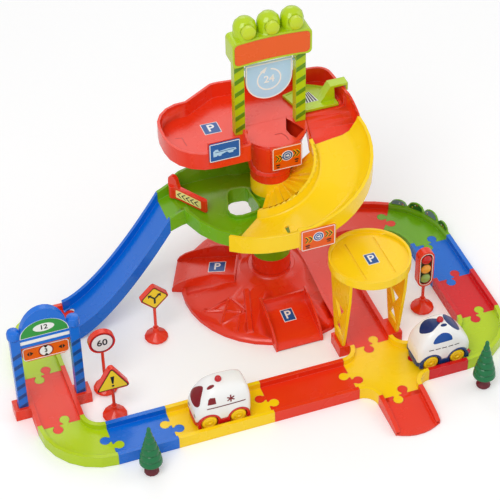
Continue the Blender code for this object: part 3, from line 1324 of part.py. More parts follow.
def make_car(name, centre, forward, wheelbase, stations, body_colour, trim_name, trim, lamp_name, lamp,
             lamp_x):
    """A push car: a hollow body on a chassis, with two turning wheel sets and a lamp on the roof."""
    road_z = ROAD_TOP + GAP

    def turned(shape):
        bmesh.ops.scale(shape, vec=(forward, forward, 1.0), verts=shape.verts)
        bmesh.ops.translate(shape, vec=(centre[0], centre[1], road_z), verts=shape.verts)
        return shape

    half = CAR_WIDTH / 2
    sill = 0.0175
    rings = [car_ring(x, w, sill, belt, roof, tuck) for x, w, belt, roof, tuck in stations]
    body = finish(name + "_body", turned(loft(rings)), name + "_white", body_colour)
    skin = 0.0024
    inner = []
    for k, (x, w, belt, roof, tuck) in enumerate(stations):
        shift = skin if k == 0 else (-skin if k == len(stations) - 1 else 0.0)
        inner.append(car_ring(x + shift, w - skin, sill - 0.004, belt - 0.001, roof - skin, tuck * 0.9))
    cut(body, turned(loft(inner)))
    arch = WHEEL_RADIUS + 0.0022
    fender = WHEEL_RADIUS + FENDER
    for side in (-1.0, 1.0):
        x = side * wheelbase / 2
        cut(body, turned(rod((x, -0.04, WHEEL_RADIUS), (x, 0.04, WHEEL_RADIUS), fender + 2 * GAP, 14)))
    long_half = CAR_LENGTH / 2
    side_in = half - 0.0035
    outline = rounded([(-long_half, -side_in, 0.014), (long_half, -side_in, 0.016),
                       (long_half, side_in, 0.016), (-long_half, side_in, 0.014)], 3)
    chassis = finish(name + "_chassis", turned(prism(outline, 0.0065, sill - GAP)), trim_name, trim)
    track = half - WHEEL_WIDTH
    for side in (-1.0, 1.0):
        x = side * wheelbase / 2
        cut(chassis, turned(rod((x, -0.04, WHEEL_RADIUS), (x, -track + 0.0006, WHEEL_RADIUS), arch, 16)),
            turned(rod((x, track - 0.0006, WHEEL_RADIUS), (x, 0.04, WHEEL_RADIUS), arch, 16)))
    skirt = side_skirt(long_half - 0.0035, wheelbase / 2, arch + 0.0003, fender, 0.0067, sill - 2 * GAP)
    for side in (-1.0, 1.0):
        near = side * (half - 0.0004)
        far = side * (half - 0.0050)
        join(chassis, turned(loft([[(u, near, v) for u, v in skirt], [(u, far, v) for u, v in skirt]])))
    for side in (-1.0, 1.0):
        x = side * wheelbase / 2
        slot = AXLE_RADIUS + PIVOT_GAP
        cut(chassis, turned(box((x - slot, -track - 0.001, 0.0),
                                (x + slot, track + 0.001, WHEEL_RADIUS + slot))))
    for end, side in (("rear", -1.0), ("front", 1.0)):
        x = side * wheelbase / 2
        rim = half - 0.0004
        flat = track + 0.0002
        axle = [(0.0, -rim), (0.0100, -rim), (WHEEL_RADIUS, -rim + 0.0024), (WHEEL_RADIUS, -flat - 0.0012),
                (0.0120, -flat),
                (AXLE_RADIUS, -flat), (AXLE_RADIUS, flat), (0.0120, flat), (WHEEL_RADIUS, flat + 0.0012),
                (WHEEL_RADIUS, rim - 0.0024), (0.0100, rim), (0.0, rim)]
        turn = Vector((0.0, 1.0, 0.0)).to_track_quat("Z", "X").to_matrix().to_4x4()
        spot = (centre[0] + forward * x, centre[1], road_z + WHEEL_RADIUS)
        finish(name + "_wheels_" + end, lathe(axle, 14, centre=spot, tilt=turn), "wheel_yellow", YELLOW,
               origin=spot)
    roof_z = max(station[3] for station in stations)
    beacon = [(0.0, roof_z + GAP), (0.0062, roof_z + GAP), (0.0060, roof_z + 0.0045),
              (0.0042, roof_z + 0.0070), (0.0, roof_z + 0.0080)]
    finish(name + "_beacon", turned(lathe(beacon, 14, centre=(lamp_x, 0.0, 0.0))), lamp_name, lamp)


def make_cars():
    van = ((-0.0505, 0.0235, 0.046, 0.060, 0.0050), (-0.047, 0.0275, 0.052, 0.074, 0.0070),
           (-0.038, 0.0292, 0.056, 0.0820, 0.0080), (-0.012, 0.0298, 0.058, 0.0865, 0.0090),
           (0.006, 0.0298, 0.057, 0.0860, 0.0090), (0.018, 0.0295, 0.053, 0.0800, 0.0090),
           (0.030, 0.0288, 0.045, 0.0670, 0.0080), (0.041, 0.0272, 0.038, 0.0530, 0.0070),
           (0.0505, 0.0225, 0.031, 0.0410, 0.0050))
    make_car("ambulance", (-0.211, FRONT_Y), -1.0, WHEELBASE, van, WHITE, "deep_red", DEEP_RED, "lamp_red",
             (0.7, 0.02, 0.02), 0.000)
    saloon = ((-0.0505, 0.0225, 0.034, 0.046, 0.0050), (-0.044, 0.0275, 0.040, 0.060, 0.0070),
              (-0.033, 0.0292, 0.046, 0.0735, 0.0085), (-0.018, 0.0298, 0.052, 0.0840, 0.0095),
              (0.000, 0.0300, 0.054, 0.0875, 0.0100), (0.014, 0.0298, 0.052, 0.0850, 0.0100),
              (0.028, 0.0290, 0.046, 0.0720, 0.0090), (0.041, 0.0272, 0.038, 0.0560, 0.0070),
              (0.0505, 0.0225, 0.031, 0.0430, 0.0050))
    make_car("patrol_car", (0.212, FRONT_Y), 1.0, 0.052, saloon, WHITE, "navy", NAVY, "lamp_red",
             (0.7, 0.02, 0.02), 0.000)


def main():
    clear_scene()
    make_front_roads()
    make_right_roads()
    make_junction()
    make_long_track()
    make_landing_pad()
    make_exit_ramp()
    foot = make_left_roads()
    make_slide(foot)
    make_base()
    make_lower_column()
    make_green_level()
    make_diverter()
    make_spiral()
    make_upper_column()
    make_deck()
    make_launch_plate()
    make_deck_gate()
    make_sign_panels()
    make_street_gate()
    make_signs()
    make_trees()
    make_cars()


main()
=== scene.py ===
"""Looks of the toy garage play set: glossy moulded plastic, printed stickers, and a pale studio floor."""
import json
import math
import random

import bmesh
import bpy
from mathutils import Matrix, Vector
from mathutils.bvhtree import BVHTree

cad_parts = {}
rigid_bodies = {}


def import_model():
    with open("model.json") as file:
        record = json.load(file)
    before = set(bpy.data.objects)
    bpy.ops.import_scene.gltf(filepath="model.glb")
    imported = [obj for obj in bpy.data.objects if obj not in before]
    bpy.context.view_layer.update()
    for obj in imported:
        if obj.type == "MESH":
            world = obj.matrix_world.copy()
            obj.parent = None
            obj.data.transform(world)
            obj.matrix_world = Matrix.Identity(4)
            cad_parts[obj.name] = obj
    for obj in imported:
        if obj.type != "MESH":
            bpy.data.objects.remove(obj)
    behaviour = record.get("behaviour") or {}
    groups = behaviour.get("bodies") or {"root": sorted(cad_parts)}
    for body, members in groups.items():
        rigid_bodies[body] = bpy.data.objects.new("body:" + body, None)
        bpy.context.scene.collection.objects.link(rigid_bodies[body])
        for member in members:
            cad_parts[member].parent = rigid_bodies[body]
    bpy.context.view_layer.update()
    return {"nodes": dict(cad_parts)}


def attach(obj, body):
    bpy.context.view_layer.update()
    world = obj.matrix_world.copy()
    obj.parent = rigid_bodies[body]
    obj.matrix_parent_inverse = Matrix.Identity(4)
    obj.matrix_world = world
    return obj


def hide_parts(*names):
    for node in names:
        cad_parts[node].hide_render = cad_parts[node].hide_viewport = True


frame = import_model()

rng = random.Random(7)

# Colours as they look, 0 to 255
PAINT = {
    "red": (236, 52, 18), "deep_red": (214, 16, 24), "yellow": (255, 214, 14), "lime": (182, 210, 12),
    "green": (112, 176, 6), "blue": (0, 108, 214), "orange": (236, 92, 6), "sky": (182, 220, 248),
    "white": (246, 246, 244), "navy": (18, 58, 122), "tree": (10, 112, 62), "maroon": (104, 24, 36),
    "lens": (196, 216, 40), "lamp": (196, 26, 34), "sign_blue": (10, 92, 168),
    "dark_lime": (92, 146, 16), "dark_blue": (0, 66, 138),
    "amber": (246, 170, 60), "signal_green": (150, 180, 96), "signal_red": (206, 30, 34),
    "glass_navy": (12, 44, 104), "glass_red": (128, 8, 22), "glass_blue": (0, 74, 156),
    "lamp_glass": (120, 136, 132), "ink": (18, 18, 22), "print_white": (242, 242, 240),
    "print_green": (40, 150, 60), "print_yellow": (252, 214, 30), "sky_print": (176, 214, 240),
    "mark_blue": (26, 84, 156), "ring_red": (150, 16, 40), "red_line": (176, 30, 14),
    "cream": (250, 236, 150), "shade_leaf": (118, 142, 168), "leaf_dark": (40, 104, 40),
}

# Places taken from the CAD, in metres
ROAD_Y = -0.3065
AMBULANCE_X = -0.211
PATROL_X = 0.212
AMBULANCE_BASE = 0.054
PATROL_BASE = 0.052
DECK_TOP = 0.356
PAD_TOP = 0.2075
PLATE_TOP = 0.3613
DECK_GATE_X = 0.0095
DECK_POST_SPREAD = 0.058
DECK_POST_FRONT = 0.0220
FLAP_FRONT = 0.0278
FLAP_BACK = 0.0322
FLAP_TOP = 0.4966
FLAP_ROUND_Z = 0.4630
STREET_GATE_X = -0.4815
STREET_POST_SPREAD = 0.053
STREET_POST_FRONT = -0.1805
STREET_ARCH_FRONT = -0.1780
STREET_FLAP_FRONT = -0.1742
STREET_FLAP_Z = 0.1425
LIGHTS_X = 0.2425
LIGHTS_FRONT = -0.1770
LIGHTS_RECESS = -0.1745
LIGHTS_Z = 0.104
DIVERTER_PIVOT = (-0.1745, 0.041, 0.2485)
DIVERTER_ANGLE = -57.0
BUSH_CENTRE = (0.2205, -0.014, 0.0)
BUSH_WALL = 0.1437
BUSH_TURN = 60.0
TREE_LEFT = (-0.361, -0.383)
TREE_RIGHT = (0.264, -0.394)
UPPER_BOARD = (0.0170, -0.0438, 0.33475)
LOWER_BOARD = (0.0115, -0.2128, 0.2820)
TOW_SIGN = (-0.103, -0.0523, 0.38875)
SPEED_SIGN = (-0.380, -0.1685, 0.120)
WARNING_SIGN = (-0.383, -0.2385, 0.090)
CROSSROADS_SIGN = (-0.254, -0.0735, 0.104)

# Heights of printed layers above what carries them, the lowest first, and the depth of a layer
FILM = 0.00025
SECOND = 0.0004
THIRD = 0.0006
TOP = 0.0008
FILM_DEPTH = 0.0006


def linear(name):
    """A colour of the list above, as linear light."""
    out = []
    for value in PAINT[name]:
        c = value / 255.0
        out.append(c / 12.92 if c <= 0.04045 else ((c + 0.055) / 1.055) ** 2.4)
    return (*out, 1.0)


# Materials

def moulded_surface():
    """Shared node group: colour drift, orange peel, fine scratches and a painted highlight that mixes edges
    towards a pale warm white in patches.
    """
    group = bpy.data.node_groups.new("moulded_surface", "ShaderNodeTree")
    face = group.interface
    face.new_socket("Colour", in_out="INPUT", socket_type="NodeSocketColor")
    for name, value in (("Drift", 0.05), ("Gloss", 0.25), ("Peel", 0.05), ("Peel Scale", 420.0),
                        ("Edge", 0.0012), ("Wear", 0.25)):
        face.new_socket(name, in_out="INPUT", socket_type="NodeSocketFloat").default_value = value
    for name, kind in (("Colour", "NodeSocketColor"), ("Roughness", "NodeSocketFloat"),
                       ("Normal", "NodeSocketVector")):
        face.new_socket(name, in_out="OUTPUT", socket_type=kind)
    nodes, links = group.nodes, group.links
    entry, leave = nodes.new("NodeGroupInput"), nodes.new("NodeGroupOutput")
    place = nodes.new("ShaderNodeTexCoord")

    def noise(scale, detail=3.0, stretch=None):
        node = nodes.new("ShaderNodeTexNoise")
        node.inputs["Scale"].default_value = scale
        node.inputs["Detail"].default_value = detail
        source = place.outputs["Object"]
        if stretch:
            mapping = nodes.new("ShaderNodeMapping")
            mapping.inputs["Scale"].default_value = stretch
            links.new(source, mapping.inputs["Vector"])
            source = mapping.outputs["Vector"]
        links.new(source, node.inputs["Vector"])
        return node

    def maths(kind, a, b):
        node = nodes.new("ShaderNodeMath")
        node.operation = kind
        for socket, value in zip(node.inputs, (a, b)):
            if isinstance(value, (int, float)):
                socket.default_value = value
            else:
                links.new(value, socket)
        return node.outputs[0]

    def spread(value, low, high, to_low, to_high):
        node = nodes.new("ShaderNodeMapRange")
        for key, number in (("From Min", low), ("From Max", high), ("To Min", to_low), ("To Max", to_high)):
            node.inputs[key].default_value = number
        links.new(value, node.inputs["Value"])
        return node.outputs["Result"]

    cloud = noise(9.0).outputs["Fac"]
    scratch = noise(24.0, 4.0, (1.0, 1.3, 1.1)).outputs["Fac"]
    peel = noise(420.0, 1.0)
    links.new(entry.outputs["Peel Scale"], peel.inputs["Scale"])
    round_edge = nodes.new("ShaderNodeBevel")
    round_edge.samples = 4
    links.new(entry.outputs["Edge"], round_edge.inputs["Radius"])
    geometry = nodes.new("ShaderNodeNewGeometry")
    bend = nodes.new("ShaderNodeVectorMath")
    bend.operation = "DOT_PRODUCT"
    links.new(round_edge.outputs["Normal"], bend.inputs[0])
    links.new(geometry.outputs["Normal"], bend.inputs[1])
    # Painted highlight: where the bevel normal bends away from the face, the colour is mixed towards a pale
    # warm white, in patches.
    edge = spread(bend.outputs["Value"], 0.995, 0.75, 0.0, 1.0)
    patchy = maths("MULTIPLY", edge, spread(scratch, 0.35, 0.7, 0.5, 1.0))
    sheen_mask = maths("MULTIPLY", patchy, entry.outputs["Wear"])
    bright = nodes.new("ShaderNodeHueSaturation")
    drift = maths("MULTIPLY", maths("SUBTRACT", cloud, 0.5), entry.outputs["Drift"])
    links.new(maths("ADD", drift, 1.0), bright.inputs["Value"])
    links.new(entry.outputs["Colour"], bright.inputs["Color"])
    pale = nodes.new("ShaderNodeMix")
    pale.data_type = "RGBA"
    pale.inputs[7].default_value = (1.0, 0.96, 0.9, 1.0)
    links.new(sheen_mask, pale.inputs[0])
    links.new(bright.outputs["Color"], pale.inputs[6])
    links.new(pale.outputs[2], leave.inputs["Colour"])
    rough = maths("ADD", entry.outputs["Gloss"], spread(scratch, 0.4, 0.75, -0.02, 0.05))
    links.new(maths("ADD", rough, spread(cloud, 0.4, 0.65, 0.0, 0.05)), leave.inputs["Roughness"])
    bump = nodes.new("ShaderNodeBump")
    bump.inputs["Distance"].default_value = 0.0006
    links.new(entry.outputs["Peel"], bump.inputs["Strength"])
    links.new(peel.outputs["Fac"], bump.inputs["Height"])
    links.new(round_edge.outputs["Normal"], bump.inputs["Normal"])
    links.new(bump.outputs["Normal"], leave.inputs["Normal"])
    return group


surface = moulded_surface()
made = {}


def plastic(name, gloss=0.24, drift=0.10, peel=0.05, scale=420.0, edge=0.0012, wear=0.18, coat=0.12):
    """A finish of the shared group for one of this set's colours."""
    key = (name, gloss, edge)
    if key in made:
        return made[key]
    material = bpy.data.materials.new("finish_" + name)
    material.use_nodes = True
    tree = material.node_tree
    shader = tree.nodes["Principled BSDF"]
    node = tree.nodes.new("ShaderNodeGroup")
    node.node_tree = surface
    # The last input sets how strongly edges get the painted highlight.
    for socket, value in (("Colour", linear(name)), ("Drift", drift), ("Gloss", gloss), ("Peel", peel),
                          ("Peel Scale", scale), ("Edge", edge), ("Wear", wear)):
        node.inputs[socket].default_value = value
    tree.links.new(node.outputs["Colour"], shader.inputs["Base Color"])
    tree.links.new(node.outputs["Roughness"], shader.inputs["Roughness"])
    tree.links.new(node.outputs["Normal"], shader.inputs["Normal"])
    shader.inputs["Specular IOR Level"].default_value = 0.36
    shader.inputs["Coat Weight"].default_value = coat
    shader.inputs["Coat Roughness"].default_value = 0.06
    made[key] = material
    return material


def printed(name):
    """Ink or sticker film: smoother, with almost no edge rounding and no painted edge highlight."""
    return plastic(name, gloss=0.32, drift=0.06, peel=0.02, scale=900.0, edge=0.0002, wear=0.0, coat=0.1)


# Making and placing

def piece(name, mesh_data, material, body="root", smooth=35.0):
    """Turn a bmesh into a finished object of the set, at the origin, and let it ride."""
    bmesh.ops.remove_doubles(mesh_data, verts=mesh_data.verts, dist=2e-6)
    bmesh.ops.recalc_face_normals(mesh_data, faces=mesh_data.faces)
    mesh = bpy.data.meshes.new(name)
    mesh_data.to_mesh(mesh)
    mesh_data.free()
    return settle(name, mesh, material, body, smooth)


def plain_mesh(item):
    """The mesh that an object's text or modifiers give; the object itself is deleted."""
    bpy.context.view_layer.update()
    mesh = bpy.data.meshes.new_from_object(item.evaluated_get(bpy.context.evaluated_depsgraph_get()))
    bpy.data.objects.remove(item, do_unlink=True)
    return mesh


def settle(name, mesh, material, body, smooth=35.0):
    """Give a mesh its finish and shading and let it ride on its body."""
    mesh.shade_smooth()
    mesh.set_sharp_from_angle(angle=math.radians(smooth))
    mesh.materials.clear()
    mesh.materials.append(material)
    item = bpy.data.objects.new(name, mesh)
    bpy.context.scene.collection.objects.link(item)
    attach(item, body)
    return item


def loft(rings):
    """A closed skin over rings with as many points each."""
    shape = bmesh.new()
    rows = [[shape.verts.new(point) for point in ring] for ring in rings]
    count = len(rows[0])
    for near, far in zip(rows, rows[1:]):
        for k in range(count):
            shape.faces.new((near[k], near[(k + 1) % count], far[(k + 1) % count], far[k]))
    shape.faces.new(rows[0])
    shape.faces.new(list(reversed(rows[-1])))
    return shape


def lathe(profile, segments, spot=(0.0, 0.0, 0.0), aim=None):
    """Turn (radius, height) points round an axis; the profile starts and ends on it."""
    shape = bmesh.new()
    rows = []
    for radius, height in profile:
        if radius == 0.0:
            rows.append([shape.verts.new((0.0, 0.0, height))] * segments)
        else:
            angles = [math.tau * k / segments for k in range(segments)]
            rows.append([shape.verts.new((radius * math.cos(a), radius * math.sin(a), height))
                         for a in angles])
    for near, far in zip(rows, rows[1:]):
        for k in range(segments):
            after = (k + 1) % segments
            corners = list(dict.fromkeys([near[k], near[after], far[after], far[k]]))
            if len(corners) > 2:
                shape.faces.new(corners)
    turn = Vector(aim).to_track_quat("Z", "Y").to_matrix().to_4x4() if aim else Matrix.Identity(4)
    bmesh.ops.transform(shape, matrix=Matrix.Translation(spot) @ turn, verts=shape.verts)
    return shape


def arc(centre, radius, start, end, steps):
    """Points on an arc, with its ends in degrees."""
    points = []
    for k in range(steps + 1):
        angle = math.radians(start + (end - start) * k / steps)
        points.append((centre[0] + radius * math.cos(angle), centre[1] + radius * math.sin(angle)))
    return points


def rounded_box(half_x, half_y, radius, steps=4, cx=0.0, cy=0.0):
    points = []
    for sx, sy, start in ((1, 1, 0), (-1, 1, 90), (-1, -1, 180), (1, -1, 270)):
        points += arc((cx + sx * (half_x - radius), cy + sy * (half_y - radius)), radius, start, start + 90,
                      steps)
    return points


def ring_shape(outer, inner, closed=True):
    """A band between two paths with as many points each: a row of outlines that share their edges."""
    count = len(outer)
    last = count if closed else count - 1
    return [[outer[k], outer[(k + 1) % count], inner[(k + 1) % count], inner[k]] for k in range(last)]


class Sheet:
    """A drawing plane on the set; with a tree, what is drawn is laid on the faces below."""

    def __init__(self, origin, right, up, body="root", tree=None, slot=None):
        self.origin = Vector(origin)
        self.right = Vector(right).normalized()
        self.up = Vector(up).normalized()
        self.out = self.right.cross(self.up)
        self.body = body
        self.tree = tree
        self.slot = slot

    def point(self, u, v, lift):
        spot = self.origin + self.right * u + self.up * v
        if self.tree:
            hit, normal = self.tree.ray_cast(spot + self.out * 0.06, -self.out)[:2]
            if hit is None:
                hit, normal = self.tree.find_nearest(spot)[:2]
            if normal.dot(self.out) < 0:
                normal = -normal
            return hit + (normal * 0.5 + self.out * 0.5).normalized() * lift
        return spot + self.out * lift

    def stick(self, name, outlines, ink, lift=FILM, grid=None):
        """A thin printed layer on this plane, cut to one or more outlines; grid lets it bend."""
        shape = bmesh.new()
        part = bmesh.new()
        for outline in outlines:
            part.faces.new([part.verts.new((u, v, 0.0)) for u, v in outline])
        bmesh.ops.remove_doubles(part, verts=part.verts, dist=1e-7)
        bmesh.ops.triangulate(part, faces=part.faces)
        if grid:
            for axis in (0, 1):
                low = min(v.co[axis] for v in part.verts)
                high = max(v.co[axis] for v in part.verts)
                normal = (1.0, 0.0, 0.0) if axis == 0 else (0.0, 1.0, 0.0)
                for k in range(1, int((high - low) / grid) + 1):
                    everything = [*part.verts, *part.edges, *part.faces]
                    place = [c * (low + k * grid) for c in normal]
                    bmesh.ops.bisect_plane(part, geom=everything, dist=1e-7, plane_co=place, plane_no=normal)
        bmesh.ops.recalc_face_normals(part, faces=part.faces)
        top = {v: shape.verts.new(self.point(v.co.x, v.co.y, lift)) for v in part.verts}
        low = {v: shape.verts.new(self.point(v.co.x, v.co.y, lift - FILM_DEPTH)) for v in part.verts}
        for face in part.faces:
            shape.faces.new([top[v] for v in face.verts])
            shape.faces.new([low[v] for v in reversed(face.verts)])
        for edge in part.edges:
            if len(edge.link_faces) == 1:
                a, b = edge.verts
                shape.faces.new((top[a], top[b], low[b], low[a]))
        part.free()
        return piece(name, shape, printed(ink), self.body)

    def write(self, name, text, size, u, v, ink, lift=0.0005):
        """Plain digits or one letter, centred at (u, v)."""
        curve = bpy.data.curves.new(name, "FONT")
        curve.body = text
        curve.size = size
        curve.align_x = "CENTER"
        curve.align_y = "CENTER"
        curve_depth = 0.0003
        curve.extrude = curve_depth
        curve.offset = size * 0.018
        text_object = bpy.data.objects.new(name, curve)
        bpy.context.scene.collection.objects.link(text_object)
        mesh = plain_mesh(text_object)
        for vertex in mesh.vertices:
            vertex.co = self.point(u + vertex.co.x, v + vertex.co.y, lift + vertex.co.z - curve_depth)
        mesh.name = name
        return settle(name, mesh, printed(ink), self.body)


def node_tree(*names):
    """Search tree of the CAD nodes that a sticker lies on."""
    shape = bmesh.new()
    for name in names:
        shape.from_mesh(frame["nodes"][name].data)
    tree = BVHTree.FromBMesh(shape)
    shape.free()
    return tree


def repeat_tree():
    """Geometry nodes: copies of a small part along a line, as one real mesh."""
    tree = bpy.data.node_groups.new("repeated_parts", "GeometryNodeTree")
    face = tree.interface
    face.new_socket("Geometry", in_out="INPUT", socket_type="NodeSocketGeometry")
    for name, kind in (("Count", "NodeSocketInt"), ("Step", "NodeSocketVector"),
                       ("Finish", "NodeSocketMaterial")):
        face.new_socket(name, in_out="INPUT", socket_type=kind)
    face.new_socket("Geometry", in_out="OUTPUT", socket_type="NodeSocketGeometry")
    nodes, links = tree.nodes, tree.links
    entry, leave = nodes.new("NodeGroupInput"), nodes.new("NodeGroupOutput")
    line = nodes.new("GeometryNodeMeshLine")
    line.mode = "OFFSET"
    links.new(entry.outputs["Count"], line.inputs["Count"])
    links.new(entry.outputs["Step"], line.inputs["Offset"])
    copies = nodes.new("GeometryNodeInstanceOnPoints")
    links.new(line.outputs["Mesh"], copies.inputs["Points"])
    links.new(entry.outputs["Geometry"], copies.inputs["Instance"])
    real = nodes.new("GeometryNodeRealizeInstances")
    finish = nodes.new("GeometryNodeSetMaterial")
    links.new(copies.outputs["Instances"], real.inputs["Geometry"])
    links.new(real.outputs["Geometry"], finish.inputs["Geometry"])
    links.new(entry.outputs["Finish"], finish.inputs["Material"])
    links.new(finish.outputs["Geometry"], leave.inputs["Geometry"])
    return tree


copies_tree = repeat_tree()


def repeated(name, part, count, step, material, place):
    """Copy a small part with the tree above, then put the mesh in place."""
    bmesh.ops.recalc_face_normals(part, faces=part.faces)
    mesh = bpy.data.meshes.new(name)
    part.to_mesh(mesh)
    part.free()
    item = bpy.data.objects.new(name, mesh)
    bpy.context.scene.collection.objects.link(item)
    modifier = item.modifiers.new("copies", "NODES")
    modifier.node_group = copies_tree
    values = {"Count": count, "Step": step, "Finish": material}
    for socket in copies_tree.interface.items_tree:
        if socket.in_out == "INPUT" and socket.name in values:
            modifier[socket.identifier] = values[socket.name]
    result = plain_mesh(item)
    result.transform(place)
    return settle(name, result, material, "root")


def facing_front(x, y, z, slot, body="root"):
    return Sheet((x, y, z), (1, 0, 0), (0, 0, 1), body, None, slot)


# CAD nodes carried over with rounded shading

FINISH_OF_SLOT = {"ambulance_white": "white", "patrol_car_white": "white", "wheel_yellow": "yellow",
                  "tree_green": "tree", "lamp_red": "lamp"}


def rounded_node(name):
    """A merged copy that stands for a CAD node: flat faces stay flat, curved ones look round."""
    node = frame["nodes"][name]
    slot = node.data.materials[0].name
    shape = bmesh.new()
    shape.from_mesh(node.data)
    bmesh.ops.remove_doubles(shape, verts=shape.verts, dist=2e-6)
    bmesh.ops.dissolve_degenerate(shape, edges=shape.edges, dist=1e-6)
    bmesh.ops.dissolve_limit(shape, angle_limit=math.radians(0.4), verts=shape.verts, edges=shape.edges)
    mesh = bpy.data.meshes.new(name + "_moulding")
    shape.to_mesh(mesh)
    shape.free()
    mesh.shade_smooth()
    mesh.set_sharp_from_angle(angle=math.radians(30.0))
    draft = bpy.data.objects.new(name + "_draft", mesh)
    bpy.context.scene.collection.objects.link(draft)
    weights = draft.modifiers.new("flat_faces_lead", "WEIGHTED_NORMAL")
    weights.keep_sharp = True
    result = plain_mesh(draft)
    result.materials.clear()
    result.materials.append(plastic(FINISH_OF_SLOT.get(slot, slot)))
    item = bpy.data.objects.new(name + "_moulding", result)
    bpy.context.scene.collection.objects.link(item)
    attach(item, node.parent.name[5:])
    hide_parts(name)


# These nodes get shapes of their own below
CUSTOM = {"ambulance_body", "patrol_car_body", "ambulance_beacon", "patrol_car_beacon", "tree_left_crown",
          "tree_right_crown", "ambulance_wheels_front", "ambulance_wheels_rear", "patrol_car_wheels_front",
          "patrol_car_wheels_rear"}
for node_name in sorted(frame["nodes"]):
    if node_name not in CUSTOM:
        rounded_node(node_name)


# Push cars

CAR_SILL = 0.0178
CAR_ROAD = 0.0128
CAR_WHEEL = 0.0145
CAR_ARCH = 0.0210

# Drawing planes lie this far from a car's middle: beside it, past its ends and above the road
CAR_SIDE = 0.034
CAR_END = 0.06
CAR_ABOVE = 0.11


def between(a, b, c, d, t):
    """Smooth value between b and c, led by their neighbours."""
    square = (2 * a - 5 * b + 4 * c - d) * t * t
    cube = (3 * b - a - 3 * c + d) * t ** 3
    return 0.5 * (2 * b + (c - a) * t + square + cube)


def blend_stations(stations, steps):
    """Smooth row of body sections through the given ones."""
    rows = []
    for k in range(len(stations) - 1):
        p0, p1 = stations[max(0, k - 1)], stations[k]
        p2, p3 = stations[k + 1], stations[min(len(stations) - 1, k + 2)]
        for step in range(steps):
            t = step / steps
            rows.append(tuple(between(*four, t) for four in zip(p0, p1, p2, p3)))
    rows.append(stations[-1])
    return rows


def car_section(x, half, belt, roof):
    """One cross-section: upright sides that round over into the roof."""
    points = [(x, half - 0.0012, CAR_SILL), (x, half, CAR_SILL + 0.004)]
    for k in range(11):
        angle = math.radians(90.0 * k / 10)
        points.append((x, half * math.cos(angle) ** 0.62, belt + (roof - belt) * math.sin(angle) ** 0.80))
    return points + [(px, -py, pz) for px, py, pz in reversed(points[:-1])]


def car_body(name, middle, forward, wheelbase, stations):
    """Rounded white body with four wheel arches."""
    rings = []
    for x, half, belt, roof in blend_stations(stations, 5):
        section = car_section(x, half, belt, roof)
        rings.append([(middle + forward * px, ROAD_Y + py, CAR_ROAD + pz) for px, py, pz in section])
    shape = loft(rings)
    bmesh.ops.recalc_face_normals(shape, faces=shape.faces)
    mesh = bpy.data.meshes.new(name + "_draft")
    shape.to_mesh(mesh)
    shape.free()
    draft = bpy.data.objects.new(name + "_draft", mesh)
    bpy.context.scene.collection.objects.link(draft)
    tools = []
    for side in (-1.0, 1.0):
        cutter = lathe([(0.0, -0.05), (CAR_ARCH, -0.05), (CAR_ARCH, 0.05), (0.0, 0.05)], 40,
                       (middle + side * wheelbase / 2, ROAD_Y, CAR_ROAD + CAR_WHEEL), (0.0, 1.0, 0.0))
        bmesh.ops.recalc_face_normals(cutter, faces=cutter.faces)
        tool_mesh = bpy.data.meshes.new("arch_cutter")
        cutter.to_mesh(tool_mesh)
        cutter.free()
        tool = bpy.data.objects.new("arch_cutter", tool_mesh)
        bpy.context.scene.collection.objects.link(tool)
        tools.append(tool)
        trim = draft.modifiers.new("arch", "BOOLEAN")
        trim.operation = "DIFFERENCE"
        trim.solver = "EXACT"
        trim.object = tool
    result = plain_mesh(draft)
    for tool in tools:
        bpy.data.objects.remove(tool, do_unlink=True)
    result.name = name + "_body_shell"
    item = settle(name + "_body_shell", result, plastic("white", gloss=0.22, drift=0.03), name, 38.0)
    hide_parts(name + "_body")
    search = bmesh.new()
    search.from_mesh(item.data)
    tree = BVHTree.FromBMesh(search)
    search.free()
    return tree


def car_wheels(name, end, x):
    """A pair of wheels with a rounded tyre edge, a ring groove and a hub dimple, on their axle."""
    half = 0.0296
    tread = 0.0205
    side = [(0.0, half - 0.0030), (0.0022, half - 0.0030), (0.0034, half - 0.0012), (0.0072, half - 0.0008),
            (0.0078, half - 0.0016), (0.0086, half - 0.0016), (0.0092, half - 0.0006),
            (0.0118, half - 0.0002), (0.0134, half - 0.0010), (0.0142, half - 0.0024),
            (CAR_WHEEL, half - 0.0040), (CAR_WHEEL, tread + 0.0012), (0.0138, tread + 0.0004),
            (0.0120, tread), (0.0016, tread)]
    profile = [(r, -y) for r, y in side] + [(r, y) for r, y in reversed(side)]
    shape = lathe(profile, 48, (x, ROAD_Y, CAR_ROAD + CAR_WHEEL), (0.0, 1.0, 0.0))
    body = "%s_wheels_%s" % (name, end)
    item = piece(body + "_pair", shape, plastic("yellow", gloss=0.3), body, 30.0)
    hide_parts(body)


def car_lamp(name, x, roof):
    """Red lamp that stands for the CAD's one on a car's roof."""
    dome = [(0.0, roof + 0.0002), (0.0062, roof + 0.0002), (0.0062, roof + 0.0020), (0.0057, roof + 0.0042),
            (0.0046, roof + 0.0060), (0.0028, roof + 0.0073), (0.0, roof + 0.0078)]
    shape = lathe(dome, 32, (x, ROAD_Y, CAR_ROAD))
    item = piece(name + "_roof_lamp", shape, plastic("lamp", gloss=0.12), name)
    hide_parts(name + "_beacon")


def smooth_path(points, steps=6):
    """Rounded closed outline through the points."""
    out = []
    count = len(points)
    for k in range(count):
        a, b, c, d = (points[(k + j) % count] for j in (-1, 0, 1, 2))
        for step in range(steps):
            t = step / steps
            out.append(tuple(between(*four, t) for four in zip(a, b, c, d)))
    return out


def bar(u0, v0, u1, v1, wide):
    """Straight band between two points of a sheet."""
    length = math.hypot(u1 - u0, v1 - v0)
    du, dv = -(v1 - v0) / length * wide / 2, (u1 - u0) / length * wide / 2
    return [(u0 + du, v0 + dv), (u0 - du, v0 - dv), (u1 - du, v1 - dv), (u1 + du, v1 + dv)]


